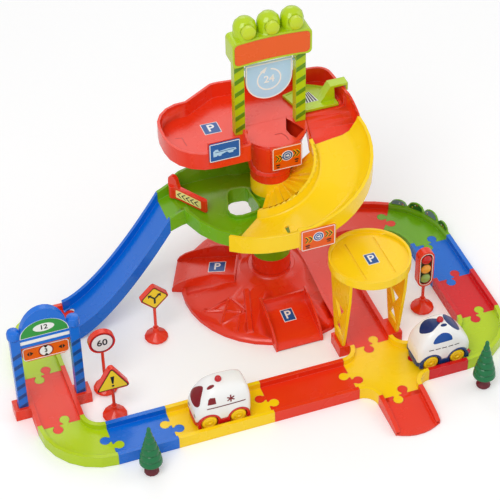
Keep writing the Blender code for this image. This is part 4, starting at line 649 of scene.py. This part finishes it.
# Body sections from tail to nose: place, half width, belt height, roof height
van = ((-0.0505, 0.0240, 0.046, 0.064), (-0.047, 0.0275, 0.052, 0.0760), (-0.038, 0.0292, 0.056, 0.0830),
       (-0.012, 0.0298, 0.056, 0.0865), (0.008, 0.0298, 0.055, 0.0862), (0.022, 0.0295, 0.052, 0.0825),
       (0.034, 0.0287, 0.046, 0.0720), (0.043, 0.0270, 0.039, 0.0590), (0.0505, 0.0225, 0.031, 0.0440))
saloon = ((-0.0505, 0.0225, 0.034, 0.048), (-0.044, 0.0275, 0.040, 0.062), (-0.033, 0.0292, 0.046, 0.0755),
          (-0.018, 0.0298, 0.050, 0.0845), (0.000, 0.0300, 0.052, 0.0870), (0.014, 0.0298, 0.050, 0.0850),
          (0.028, 0.0290, 0.045, 0.0740), (0.041, 0.0272, 0.038, 0.0580), (0.0505, 0.0225, 0.031, 0.0440))
van_skin = car_body("ambulance", AMBULANCE_X, -1.0, AMBULANCE_BASE, van)
saloon_skin = car_body("patrol_car", PATROL_X, 1.0, PATROL_BASE, saloon)
for car, middle, base, ahead in (("ambulance", AMBULANCE_X, AMBULANCE_BASE, -1.0),
                                 ("patrol_car", PATROL_X, PATROL_BASE, 1.0)):
    car_wheels(car, "front", middle + ahead * base / 2)
    car_wheels(car, "rear", middle - ahead * base / 2)
car_lamp("ambulance", AMBULANCE_X, 0.0867)
car_lamp("patrol_car", PATROL_X, 0.0875)


def ellipse(cu, cv, half_u, half_v, count):
    """Outline of an oval badge or lamp."""
    turns = [math.tau * k / count for k in range(count)]
    return [(cu + half_u * math.cos(t), cv + half_v * math.sin(t)) for t in turns]


# Glass and print of the ambulance: side faces -Y, nose faces -X
for side in (-1.0, 1.0):
    flank = Sheet((AMBULANCE_X, ROAD_Y + side * CAR_SIDE, 0.0), (-side, 0, 0), (0, 0, 1), "ambulance",
                  van_skin, "ambulance_white")
    word = "near" if side < 0 else "far"
    door = ((0.0295, 0.0720), (0.0270, 0.0815), (0.0235, 0.0850), (0.0150, 0.0850), (0.0140, 0.0720))
    flank.stick("ambulance_door_window_" + word, [[(side * u, v) for u, v in door]], "glass_red", grid=0.004)
    flank.stick("ambulance_stripe_" + word, [bar(side * 0.031, 0.0630, side * -0.040, 0.0630, 0.0022)],
                "maroon", grid=0.006)
    arms = [bar(-side * 0.013 + 0.0075 * math.cos(a), 0.0760 + 0.0075 * math.sin(a),
                -side * 0.013 - 0.0075 * math.cos(a), 0.0760 - 0.0075 * math.sin(a), 0.0026)
            for a in (math.radians(30), math.radians(90), math.radians(150))]
    for k, arm in enumerate(arms):
        flank.stick("ambulance_star_%s_%d" % (word, k), [arm], "glass_red", lift=FILM + 0.00004 * k,
                    grid=0.004)
nose = Sheet((AMBULANCE_X - CAR_END, ROAD_Y, 0.0), (0, -1, 0), (0.30, 0, 0.95), "ambulance", van_skin,
             "ambulance_white")
windshield = smooth_path([(-0.0200, 0.0750), (0.0, 0.0960), (0.0200, 0.0750), (0.0170, 0.0640), (0.0, 0.0600),
                          (-0.0170, 0.0640)])
nose.stick("ambulance_windshield", [windshield], "glass_red", grid=0.003)
roof = Sheet((AMBULANCE_X, ROAD_Y, CAR_ABOVE), (1, 0, 0), (0, 1, 0), "ambulance", van_skin, "ambulance_white")
roof.stick("ambulance_roof_badge", [ellipse(-0.0175, -0.0105, 0.0068, 0.0036, 24)], "glass_red", grid=0.003)
for spot in (-0.016, 0.016):
    nose.stick("ambulance_headlamp_%s" % ("left" if spot < 0 else "right"),
               [ellipse(spot, 0.0420, 0.0042, 0.0035, 20)], "lamp_glass", grid=0.003)

# Glass and print of the patrol car: nose faces +X
for side in (-1.0, 1.0):
    flank = Sheet((PATROL_X, ROAD_Y + side * CAR_SIDE, 0.0), (-side, 0, 0), (0, 0, 1), "patrol_car",
                  saloon_skin, "patrol_car_white")
    word = "near" if side < 0 else "far"
    flip = -side
    dome = smooth_path([(-0.0230, 0.0740), (-0.0215, 0.0820), (-0.0140, 0.0885), (-0.0050, 0.0915),
                        (0.0050, 0.0895), (0.0110, 0.0840), (0.0130, 0.0770), (0.0115, 0.0745),
                        (-0.0050, 0.0740)], steps=4)
    flank.stick("patrol_side_window_" + word, [[(flip * u, v) for u, v in dome]], "glass_blue", grid=0.004)
    dashes = [bar(flip * u, 0.0600, flip * (u + 0.0095), 0.0600, 0.0016)
              for u in (-0.032, -0.0195, -0.007, 0.0055, 0.018)]
    flank.stick("patrol_dashes_" + word, dashes, "ink", grid=0.006)
tail = Sheet((PATROL_X - CAR_END, ROAD_Y, 0.0), (0, -1, 0), (0.55, 0, 0.83), "patrol_car", saloon_skin,
             "patrol_car_white")
pane = smooth_path([(-0.0160, 0.0985), (0.0, 0.1180), (0.0160, 0.0985), (0.0, 0.0800)])
tail.stick("patrol_rear_window", [pane], "glass_navy", grid=0.003)
front = Sheet((PATROL_X + CAR_END, ROAD_Y, 0.0), (0, 1, 0), (-0.55, 0, 0.83), "patrol_car", saloon_skin,
              "patrol_car_white")
shield = smooth_path([(-0.0190, 0.0985), (-0.0100, 0.1100), (0.0100, 0.1100), (0.0190, 0.0985),
                      (0.0150, 0.0820), (-0.0150, 0.0820)], steps=5)
front.stick("patrol_windshield", [shield], "glass_navy", grid=0.003)
roof = Sheet((PATROL_X, ROAD_Y, CAR_ABOVE), (1, 0, 0), (0, 1, 0), "patrol_car", saloon_skin,
             "patrol_car_white")
roof.stick("patrol_roof_badge", [ellipse(0.0020, -0.0125, 0.0062, 0.0030, 24)], "glass_navy", grid=0.003)


# Trees

def fir(name, x, y):
    """Fir tree of six drooping tiers that shrink to a round tip."""
    profile = [(0.0, 0.0236)]
    tiers = ((0.0270, 0.0206), (0.0400, 0.0190), (0.0530, 0.0160), (0.0660, 0.0127), (0.0790, 0.0094),
             (0.0910, 0.0062))
    for k, (z, radius) in enumerate(tiers):
        top = tiers[k + 1] if k + 1 < len(tiers) else (0.1040, 0.0030)
        profile += [(radius * 0.80, z - 0.0022), (radius, z - 0.0004), (radius * 0.985, z + 0.0016),
                    (radius * 0.55 + top[1] * 0.45, z + (top[0] - z) * 0.45),
                    (top[1] * 0.93, top[0] - 0.0030)]
    profile += [(0.0040, 0.1010), (0.0036, 0.1060), (0.0022, 0.1092), (0.0, 0.1100)]
    shape = lathe(profile, 40, (x, y, 0.0))
    item = piece(name + "_crown_tiers", shape, plastic("tree", gloss=0.2), "root", 50.0)
    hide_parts(name + "_crown")


fir("tree_left", *TREE_LEFT)
fir("tree_right", *TREE_RIGHT)


# Printed stickers

def frame_ring(half_u, half_v, radius, wide):
    """Border line of a board."""
    return ring_shape(rounded_box(half_u, half_v, radius),
                      rounded_box(half_u - wide, half_v - wide, radius - wide))


def bay_mark(name, sheet, half_u, half_v, grid=None):
    """Small blue square with a white border and a white P, as on a parking sign."""
    sheet.stick(name + "_border", [rounded_box(half_u, half_v, 0.0012)], "print_white", grid=grid)
    sheet.stick(name + "_field", [rounded_box(half_u - 0.0013, half_v - 0.0013, 0.0008)], "mark_blue",
                lift=0.00035, grid=grid)
    sheet.write(name + "_letter", "P", half_v * 1.75, 0.0, 0.0, "print_white", lift=THIRD)


deck_mark = Sheet((-0.0925, 0.0585, DECK_TOP), (1.0, -0.03, 0.0), (0.0, 1.0, 0.0))
bay_mark("deck_parking_mark", deck_mark, 0.0160, 0.0160)
pad_mark = Sheet((0.1110, -0.2195, PAD_TOP), (1.0, 0.02, 0.0), (0.0, 1.0, 0.0))
bay_mark("pad_parking_mark", pad_mark, 0.0110, 0.0145)
base_skin = node_tree("base_plate")
BAY_PROBE = 0.012
for name, x, y, heading, half_u in (("front_bay_mark", -0.0110, -0.1215, 360.0, 0.0120),
                                    ("left_bay_mark", -0.0920, 0.0535, -25.0, 0.0165)):
    turn = math.radians(heading)
    across = Vector((math.cos(turn), math.sin(turn), 0.0))
    samples = []
    for shift in (-BAY_PROBE, BAY_PROBE):
        probe = Vector((x, y, 0.2)) + Vector((-across.y, across.x, 0.0)) * shift
        samples.append(base_skin.ray_cast(probe, Vector((0.0, 0.0, -1.0)))[0])
    upward = (samples[1] - samples[0]).normalized()
    sheet = Sheet((samples[0] + samples[1]) / 2, across, upward, "root", base_skin)
    bay_mark(name, sheet, half_u, 0.0145, grid=0.003)


def step_shade_line(name, points, wide=0.0011):
    """Darker red strip on the deck's floor: painted shade along a moulded step."""
    sheet = Sheet((0.0, 0.0, DECK_TOP), (1, 0, 0), (0, 1, 0))
    for k, (a, b) in enumerate(zip(points, points[1:])):
        sheet.stick("%s_%d" % (name, k), [bar(*a, *b, wide)], "red_line", lift=0.0002 + 0.00003 * k)


# Painted shade along the deck's two steps.
step_shade_line("deck_left_step", ((-0.162, 0.053), (-0.150, 0.050), (-0.150, 0.037), (-0.149, 0.025)))
step_shade_line("deck_right_step", ((0.010, 0.001), (0.022, 0.000), (0.027, -0.010), (0.028, -0.022)))

# Hazard patch on the launch plate
plate = Sheet((0.0, 0.0, PLATE_TOP), (1, 0, 0), (0, 1, 0), "launch_plate", slot="lime")
patch_corners = ((0.0890, 0.0620), (0.1180, 0.0620), (0.1110, 0.0930), (0.0960, 0.0900))


def patch_point(u, v):
    """A place on the four-cornered patch, both shares from 0 to 1."""
    low = [patch_corners[0][i] + (patch_corners[1][i] - patch_corners[0][i]) * u for i in (0, 1)]
    high = [patch_corners[3][i] + (patch_corners[2][i] - patch_corners[3][i]) * u for i in (0, 1)]
    return tuple(low[i] + (high[i] - low[i]) * v for i in (0, 1))


def patch_bar(start, width):
    """One dark bar of the patch, from its near edge to its far one."""
    end = start + width
    return [patch_point(u, v) for u, v in ((start, 0.02), (end, 0.02), (end, 0.98), (start, 0.98))]


film = [patch_point(*p) for p in ((0, 0), (1, 0), (1, 1), (0, 1))]
plate.stick("launch_patch_film", [film], "print_white")
plate.stick("launch_patch_bars", [patch_bar(k * 0.2, 0.11) for k in range(5)], "ink", lift=0.00045)


# Direction boards and the tow sign

def chevron(cu, cv, size, way, wide):
    """Outline of an arrow mark; way says to which side it points."""
    half = size * 0.5
    back, tip = cu - way * half * 0.5, cu + way * half * 0.5
    return [(back, cv + half), (back + way * wide, cv + half), (tip + way * wide * 0.4, cv),
            (back + way * wide, cv - half), (back, cv - half), (tip - way * wide * 0.6, cv)]


def disc(cu, cv, radius, count=32):
    return ellipse(cu, cv, radius, radius, count)


def direction_board(name, x, y, z, half_u, half_v):
    """Orange board: white border, two pairs of black chevrons and a round blue arrow sign."""
    sheet = facing_front(x, y, z, "orange")

    def print_on(part, outlines, ink, lift=FILM):
        sheet.stick("%s_%s" % (name, part), outlines, ink, lift=lift)

    print_on("border", frame_ring(half_u - 0.0008, half_v - 0.0008, 0.0028, 0.0013), "print_white")
    for right_half, start, rise in ((0, -0.72, 0.05), (1, 0.44, 0.22)):
        for k in range(2):
            cu = half_u * (start + 0.22 * k) + 0.001
            cv = half_v * rise
            print_on("glow_%d_%d" % (k, right_half), [chevron(cu, cv, half_v * 0.62, 1, 0.0042)],
                     "print_yellow")
            print_on("chevron_%d_%d" % (k, right_half), [chevron(cu, cv, half_v * 0.56, 1, 0.0026)], "ink",
                     SECOND)
    cv = half_v * 0.16
    print_on("disc_edge", [disc(0.0, cv, half_v * 0.44)], "print_white", SECOND)
    print_on("disc", [disc(0.0, cv, half_v * 0.38)], "mark_blue", 0.00055)
    print_on("disc_ring", ring_shape(disc(0.0, cv, half_v * 0.27), disc(0.0, cv, half_v * 0.22)),
             "print_white", 0.0007)
    size = half_v * 0.15
    thin = size * 0.3
    arrow = [(-size, cv - thin), (size * 0.1, cv - thin), (size * 0.1, cv - size), (size * 1.1, cv),
             (size * 0.1, cv + size), (size * 0.1, cv + thin), (-size, cv + thin)]
    print_on("disc_arrow", [arrow], "print_white", 0.0007)
    for right_half, cu, cv in ((0, -0.62, -0.55), (1, 0.62, -0.36)):
        print_on("dash_%d" % right_half, [
            rounded_box(half_u * 0.13, half_v * 0.06, 0.0005, 2, half_u * cu, half_v * cv),
            rounded_box(half_u * 0.10, half_v * 0.05, 0.0005, 2, half_u * cu, half_v * (cv - 0.2))], "ink")


direction_board("upper_board", *UPPER_BOARD, 0.0285, 0.02525)
direction_board("lower_board", *LOWER_BOARD, 0.0320, 0.0230)
tow = facing_front(*TOW_SIGN, "sign_blue")
tow.stick("tow_border", frame_ring(0.0280, 0.0192, 0.0026, 0.0014), "print_white")
hoist = [(-0.0215, -0.0085), (-0.0215, 0.0030), (-0.0170, 0.0065), (-0.0130, 0.0065), (-0.0110, 0.0020),
         (0.0060, 0.0045), (0.0200, 0.0030), (0.0215, -0.0010), (0.0160, -0.0020), (0.0150, -0.0060),
         (0.0080, -0.0060), (0.0040, -0.0020), (-0.0060, -0.0055), (-0.0070, -0.0085), (-0.0110, -0.0085),
         (-0.0130, -0.0060), (-0.0160, -0.0085)]
tow.stick("tow_hoist", [hoist], "sky_print")
tow.stick("tow_hoist_line", [bar(-0.0180, 0.0005, 0.0175, 0.0010, 0.0012)], "mark_blue", lift=SECOND)


# Gate posts and the deck gate's hanging panel

def slanted_bar(half, tall, rise):
    """One slanted bar of a barrier post, facing -Y, with its middle at the origin."""
    shape = bmesh.new()
    outline = [(-half, -tall / 2 - rise / 2), (half, -tall / 2 + rise / 2), (half, tall / 2 + rise / 2),
               (-half, tall / 2 - rise / 2)]
    near = [shape.verts.new((u, -SECOND, v)) for u, v in outline]
    far = [shape.verts.new((u, 0.0006, v)) for u, v in outline]
    shape.faces.new(near)
    shape.faces.new(list(reversed(far)))
    for k in range(4):
        shape.faces.new((near[k], far[k], far[(k + 1) % 4], near[(k + 1) % 4]))
    return shape


for side in (-1.0, 1.0):
    word = "left" if side < 0 else "right"
    place = Matrix.Translation((DECK_GATE_X + side * DECK_POST_SPREAD, DECK_POST_FRONT, 0.3700))
    repeated("deck_gate_%s_bars" % word, slanted_bar(0.0088, 0.0095, 0.0090), 6, (0.0, 0.0, 0.0262),
             plastic("dark_lime"), place)
    place = Matrix.Translation((STREET_GATE_X + side * STREET_POST_SPREAD, STREET_POST_FRONT, 0.0270))
    repeated("street_gate_%s_bars" % word, slanted_bar(0.0078, 0.0085, 0.0080), 6, (0.0, 0.0, 0.0245),
             plastic("dark_blue"), place)


def flap_outline(half, top):
    """Straight sides and a round foot."""
    foot = [(half * math.cos(math.radians(a)), FLAP_ROUND_Z + half * math.sin(math.radians(a)))
            for a in range(184, 360, 4)]
    return [(-half, top), (-half, FLAP_ROUND_Z)] + foot + [(half, FLAP_ROUND_Z), (half, top)]


CLOCK_Z = 0.4605
for name, y, right in (("front", FLAP_FRONT, 1), ("back", FLAP_BACK, -1)):
    panel = Sheet((DECK_GATE_X, y, 0.0), (right, 0, 0), (0, 0, 1), "deck_gate_flap", slot="sky")
    rim = ring_shape(flap_outline(0.0436, FLAP_TOP), flap_outline(0.0412, FLAP_TOP - 0.0024))
    panel.stick("flap_rim_" + name, rim, "print_white")
    turn = [math.radians(a) for a in range(118, 118 + 327, 6)]
    outer_arc, inner_arc = ([(radius * math.cos(a), CLOCK_Z + radius * math.sin(a)) for a in turn]
                            for radius in (0.0232, 0.0204))
    panel.stick("flap_round_arrow_" + name, ring_shape(outer_arc, inner_arc, closed=False), "print_white")
    panel.stick("flap_arrow_head_" + name, [[(-0.0175, 0.4790), (-0.0040, 0.4880), (-0.0085, 0.4750)]],
                "print_white", lift=0.00035)
    panel.write("flap_number_" + name, "24", 0.0205, 0.0, CLOCK_Z, "print_white")


# Street gate: half-round plate with a number, a white bar and the orange height sign

def half_moon(radius, foot):
    turns = [math.radians(a) for a in range(0, 181, 5)]
    return [(radius * math.cos(t), foot + radius * 0.80 * math.sin(t)) for t in turns]


arch = facing_front(STREET_GATE_X, STREET_ARCH_FRONT, 0.0, "blue")
arch.stick("arch_plate_edge", [half_moon(0.0440, 0.1845)], "print_white")
arch.stick("arch_plate", [half_moon(0.0422, 0.1857)], "print_green", lift=SECOND)
arch.stick("arch_number_oval", [ellipse(0.0, 0.2020, 0.0190, 0.0088, 32)], "print_white", lift=THIRD)
arch.write("arch_number", "12", 0.0145, 0.0, 0.2020, "ink", lift=TOP)
arch.stick("arch_white_bar", [bar(-0.0440, 0.1745, 0.0440, 0.1745, 0.0075)], "print_white")

street = facing_front(STREET_GATE_X, STREET_FLAP_FRONT, 0.0, "orange", "street_gate_flap")
height_border = ring_shape(rounded_box(0.0415, 0.0150, 0.006, 4, 0.0, STREET_FLAP_Z),
                           rounded_box(0.0400, 0.0135, 0.005, 4, 0.0, STREET_FLAP_Z))
street.stick("height_sign_border", height_border, "print_white")
street.stick("height_sign_ring", [disc(0.0, STREET_FLAP_Z, 0.0135)], "ring_red")
street.stick("height_sign_disc", [disc(0.0, STREET_FLAP_Z, 0.0112)], "print_white", lift=SECOND)
for way, wedge, aside in ((-1.0, "low", "left"), (1.0, "high", "right")):
    rim_z = STREET_FLAP_Z + way * 0.0118
    mark = [(-0.0045, rim_z), (0.0045, rim_z), (0.0, STREET_FLAP_Z + way * 0.0060)]
    street.stick("height_sign_wedge_" + wedge, [mark], "ink", lift=THIRD)
    pair = [[(way * foot, STREET_FLAP_Z + 0.005), (way * foot, STREET_FLAP_Z - 0.005),
             (way * tip, STREET_FLAP_Z)]
            for foot, tip in ((0.0285, 0.0225), (0.0300, 0.0345))]
    street.stick("height_sign_arrow_" + aside, pair, "ink")
street.write("height_sign_number", "3", 0.0120, 0.0, STREET_FLAP_Z, "ink", lift=TOP)


# Road signs and the traffic light

def smooth_corners(points, radius, steps=4):
    """Outline with its corners rounded off."""
    out = []
    for k, point in enumerate(points):
        here = Vector(point)
        before = (Vector(points[k - 1]) - here).normalized() * radius
        after = (Vector(points[(k + 1) % len(points)]) - here).normalized() * radius
        for step in range(steps + 1):
            t = step / steps
            out.append(tuple(here + before * (1 - t) ** 2 + after * t ** 2))
    return out


def triangle(shrink):
    """The warning sign's outline, drawn in towards its middle."""
    middle = Vector((0.0, -0.001))
    corners = ((-0.034, -0.020), (0.034, -0.020), (0.0, 0.037))
    return smooth_corners([tuple(middle + (Vector(p) - middle) * shrink) for p in corners], 0.0045)


speed = facing_front(*SPEED_SIGN, "red")
speed.stick("speed_ring", [disc(0.0, 0.0, 0.0218, 48)], "ring_red")
speed.stick("speed_disc", [disc(0.0, 0.0, 0.0192, 48)], "print_white", lift=SECOND)
speed.write("speed_number", "60", 0.0200, 0.0, 0.0, "ink", lift=0.0007)
warning = facing_front(*WARNING_SIGN, "red")
warning.stick("warning_edge", [triangle(0.88)], "ink")
warning.stick("warning_field", [triangle(0.80)], "print_yellow", lift=SECOND)
stroke = [(-0.0036, 0.0130), (0.0036, 0.0130), (0.0014, -0.0045), (-0.0014, -0.0045)]
warning.stick("warning_mark", [stroke, disc(0.0, -0.0095, 0.0024, 16)], "ink", lift=THIRD)
cross = facing_front(*CROSSROADS_SIGN, "red")
for name, reach, ink, lift in (("edge", 0.0262, "ink", FILM), ("field", 0.0240, "print_yellow", SECOND)):
    diamond = smooth_corners([(0.0, -reach), (reach, 0.0), (0.0, reach), (-reach, 0.0)], 0.004)
    cross.stick("crossroads_" + name, [diamond], ink, lift=lift)
cross.stick("crossroads_stem", [bar(0.0, -0.0130, 0.0, 0.0010, 0.0038)], "ink", lift=THIRD)
for way, word in ((-1.0, "left"), (1.0, "right")):
    cross.stick("crossroads_branch_" + word, [bar(0.0, -0.0010, way * 0.0085, 0.0070, 0.0034)], "ink",
                lift=0.00065 + way * 0.00003)
    head = [(way * 0.0125, 0.0105), (way * 0.0120, 0.0022), (way * 0.0050, 0.0090)]
    cross.stick("crossroads_head_" + word, [head], "ink", lift=0.00072 + way * 0.00002)
lights = facing_front(LIGHTS_X, LIGHTS_RECESS, LIGHTS_Z, "red")
lights.stick("traffic_light_recess", [rounded_box(0.0110, 0.0365, 0.0105, 6)], "ink")
light_rim = ring_shape(rounded_box(0.0130, 0.0385, 0.0125, 6), rounded_box(0.0116, 0.0371, 0.0111, 6))
facing_front(LIGHTS_X, LIGHTS_FRONT, LIGHTS_Z, "red").stick("traffic_light_outline", light_rim, "print_white")
lens_turns = [math.radians(a) for a in range(0, 90, 10)]
lens = [(0.0, -0.0010)] + [(0.0102 * math.cos(t), 0.0064 * math.sin(t)) for t in lens_turns] + [(0.0, 0.0064)]
for name, rise, ink in (("stop", 0.023, "signal_red"), ("wait", 0.0, "amber"),
                        ("go", -0.023, "signal_green")):
    shape = lathe(lens, 32, (LIGHTS_X, LIGHTS_RECESS, LIGHTS_Z + rise), (0.0, -1.0, 0.0))
    piece("traffic_lens_" + name, shape, plastic(ink, gloss=0.12), "root")

# Diverter arm: pale film with black arrow marks
heading = math.radians(DIVERTER_ANGLE)
reach = Vector((math.cos(heading), math.sin(heading), 0.0))
arm = Sheet(Vector(DIVERTER_PIVOT) + reach * 0.0375, reach, (0, 0, 1), "diverter_arm",
            node_tree("diverter_arm"), "red")
arm.stick("diverter_film", [rounded_box(0.0290, 0.0085, 0.0015, 4, 0.0015, 0.0)], "cream", grid=0.006)
marks = [chevron(0.0015 + u, 0.0, 0.0115, -1, -0.0030) for u in (-0.022, -0.012, -0.002, 0.008, 0.018)]
arm.stick("diverter_marks", marks, "ink", lift=0.0005, grid=0.006)

# Bush corner: painted shade in arched patches, bluish and dark green in turn, and small printed flowers on
# the inside of the scalloped wall
bush_skin = node_tree("bush_corner")
BUSH_SPAN = (BUSH_TURN - 1.2) / 4
for k in range(4):
    turn = math.radians(0.6 + BUSH_SPAN * (k + 0.5))
    away = Vector((math.cos(turn), math.sin(turn), 0.0))
    across = Vector((away.y, -away.x, 0.0))
    wall = Sheet(Vector(BUSH_CENTRE) + away * BUSH_WALL, across, (0, 0, 1), "root", bush_skin, "green")
    tall = 0.0385 + (0.003 if k in (1, 2) else 0.0)
    turns = [math.radians(a) for a in range(0, 181, 15)]
    scallop_shade = [(0.0145 * math.cos(t), 0.0270 + (tall - 0.0290) * math.sin(t) ** 0.7) for t in turns]
    # Painted shade: one arched patch on the inside of each scallop.
    wall.stick("bush_print_%d" % k, [scallop_shade + [(-0.0145, 0.0262), (0.0145, 0.0262)]],
               "shade_leaf" if k % 2 else "leaf_dark", grid=0.004)
    for j, petal in enumerate(("print_white", "print_yellow", "signal_red")):
        u, v = rng.uniform(-0.010, 0.010), rng.uniform(0.0275, tall - 0.004)
        wall.stick("bush_flower_%d_%d" % (k, j), [disc(u, v, 0.0013, 8)], petal, lift=0.0005)


# Studio

# The camera, solved from the photo: focal length in its pixels, turn, tilt and roll in degrees
PHOTO_WIDTH = 500.0
FOCAL_PIXELS = 1761.64
CAMERA_TURN, CAMERA_TILT, CAMERA_ROLL = 18.91, 41.33, -1.14
CAMERA_SPOT = (-0.8536, -2.3685, 2.2971)


def studio():
    """Pale floor, white surround, one large soft key lamp, a fill, and the camera."""
    scene = bpy.context.scene
    scene.view_settings.view_transform = "Standard"
    world = bpy.data.worlds.new("studio_surround")
    scene.world = world
    world.use_nodes = True
    tree = world.node_tree
    back = tree.nodes["Background"]
    back.inputs["Color"].default_value = (1.0, 1.0, 1.0, 1.0)
    path = tree.nodes.new("ShaderNodeLightPath")
    seen = tree.nodes.new("ShaderNodeMath")
    seen.operation = "MAXIMUM"
    tree.links.new(path.outputs["Is Camera Ray"], seen.inputs[0])
    tree.links.new(path.outputs["Is Glossy Ray"], seen.inputs[1])
    clear = tree.nodes.new("ShaderNodeMath")
    clear.operation = "MAXIMUM"
    tree.links.new(seen.outputs[0], clear.inputs[0])
    tree.links.new(path.outputs["Is Transmission Ray"], clear.inputs[1])
    level = tree.nodes.new("ShaderNodeMapRange")
    level.inputs["To Min"].default_value = 0.62
    level.inputs["To Max"].default_value = 1.0
    tree.links.new(clear.outputs[0], level.inputs["Value"])
    tree.links.new(level.outputs["Result"], back.inputs["Strength"])

    shape = bmesh.new()
    bmesh.ops.create_grid(shape, x_segments=1, y_segments=1, size=4.0)
    mesh = bpy.data.meshes.new("studio_floor")
    shape.to_mesh(mesh)
    shape.free()
    floor = bpy.data.objects.new("studio_floor", mesh)
    scene.collection.objects.link(floor)
    floor.location = (0.0, 0.0, -0.0005)
    paper = bpy.data.materials.new("studio_paper")
    paper.use_nodes = True
    shader = paper.node_tree.nodes["Principled BSDF"]
    grain = paper.node_tree.nodes.new("ShaderNodeTexNoise")
    grain.inputs["Scale"].default_value = 40.0
    spread = paper.node_tree.nodes.new("ShaderNodeMapRange")
    spread.inputs["To Min"].default_value = 0.85
    spread.inputs["To Max"].default_value = 0.95
    paper.node_tree.links.new(grain.outputs["Fac"], spread.inputs["Value"])
    paper.node_tree.links.new(spread.outputs["Result"], shader.inputs["Roughness"])
    shader.inputs["Base Color"].default_value = (0.93, 0.93, 0.93, 1.0)
    shader.inputs["Specular IOR Level"].default_value = 0.1
    shader.inputs["Emission Color"].default_value = (1.0, 1.0, 1.0, 1.0)
    glow = paper.node_tree.nodes.new("ShaderNodeLightPath")
    lift = paper.node_tree.nodes.new("ShaderNodeMath")
    lift.operation = "MULTIPLY"
    lift.inputs[1].default_value = 0.12
    paper.node_tree.links.new(glow.outputs["Is Camera Ray"], lift.inputs[0])
    paper.node_tree.links.new(lift.outputs[0], shader.inputs["Emission Strength"])
    mesh.materials.append(paper)

    for name, spot, size, power in (("key_lamp", (-1.3, -1.5, 2.6), 1.6, 34.0),
                                    ("fill_lamp", (2.2, -0.6, 1.7), 1.8, 9.0),
                                    ("back_lamp", (0.3, 2.2, 2.0), 1.6, 9.0)):
        lamp = bpy.data.lights.new(name, "AREA")
        lamp.shape = "DISK"
        lamp.size = size
        lamp.energy = power
        item = bpy.data.objects.new(name, lamp)
        scene.collection.objects.link(item)
        item.location = spot
        item.rotation_euler = (Vector((0.0, -0.1, 0.1)) - Vector(spot)).to_track_quat("-Z", "Y").to_euler()

    turn, tilt, roll = (math.radians(a) for a in (CAMERA_TURN, CAMERA_TILT, CAMERA_ROLL))
    forward = Vector((math.sin(turn) * math.cos(tilt), math.cos(turn) * math.cos(tilt), -math.sin(tilt)))
    right = Vector((math.cos(turn), -math.sin(turn), 0.0))
    up = right.cross(forward)
    across = right * math.cos(roll) + up * math.sin(roll)
    upward = up * math.cos(roll) - right * math.sin(roll)
    lens = bpy.data.cameras.new("photo_camera")
    lens.sensor_width = 36.0
    lens.lens = FOCAL_PIXELS * lens.sensor_width / PHOTO_WIDTH
    camera = bpy.data.objects.new("photo_camera", lens)
    scene.collection.objects.link(camera)
    axes = Matrix((across, upward, -forward)).transposed()
    camera.matrix_world = Matrix.Translation(CAMERA_SPOT) @ axes.to_4x4()
    scene.camera = camera


studio()
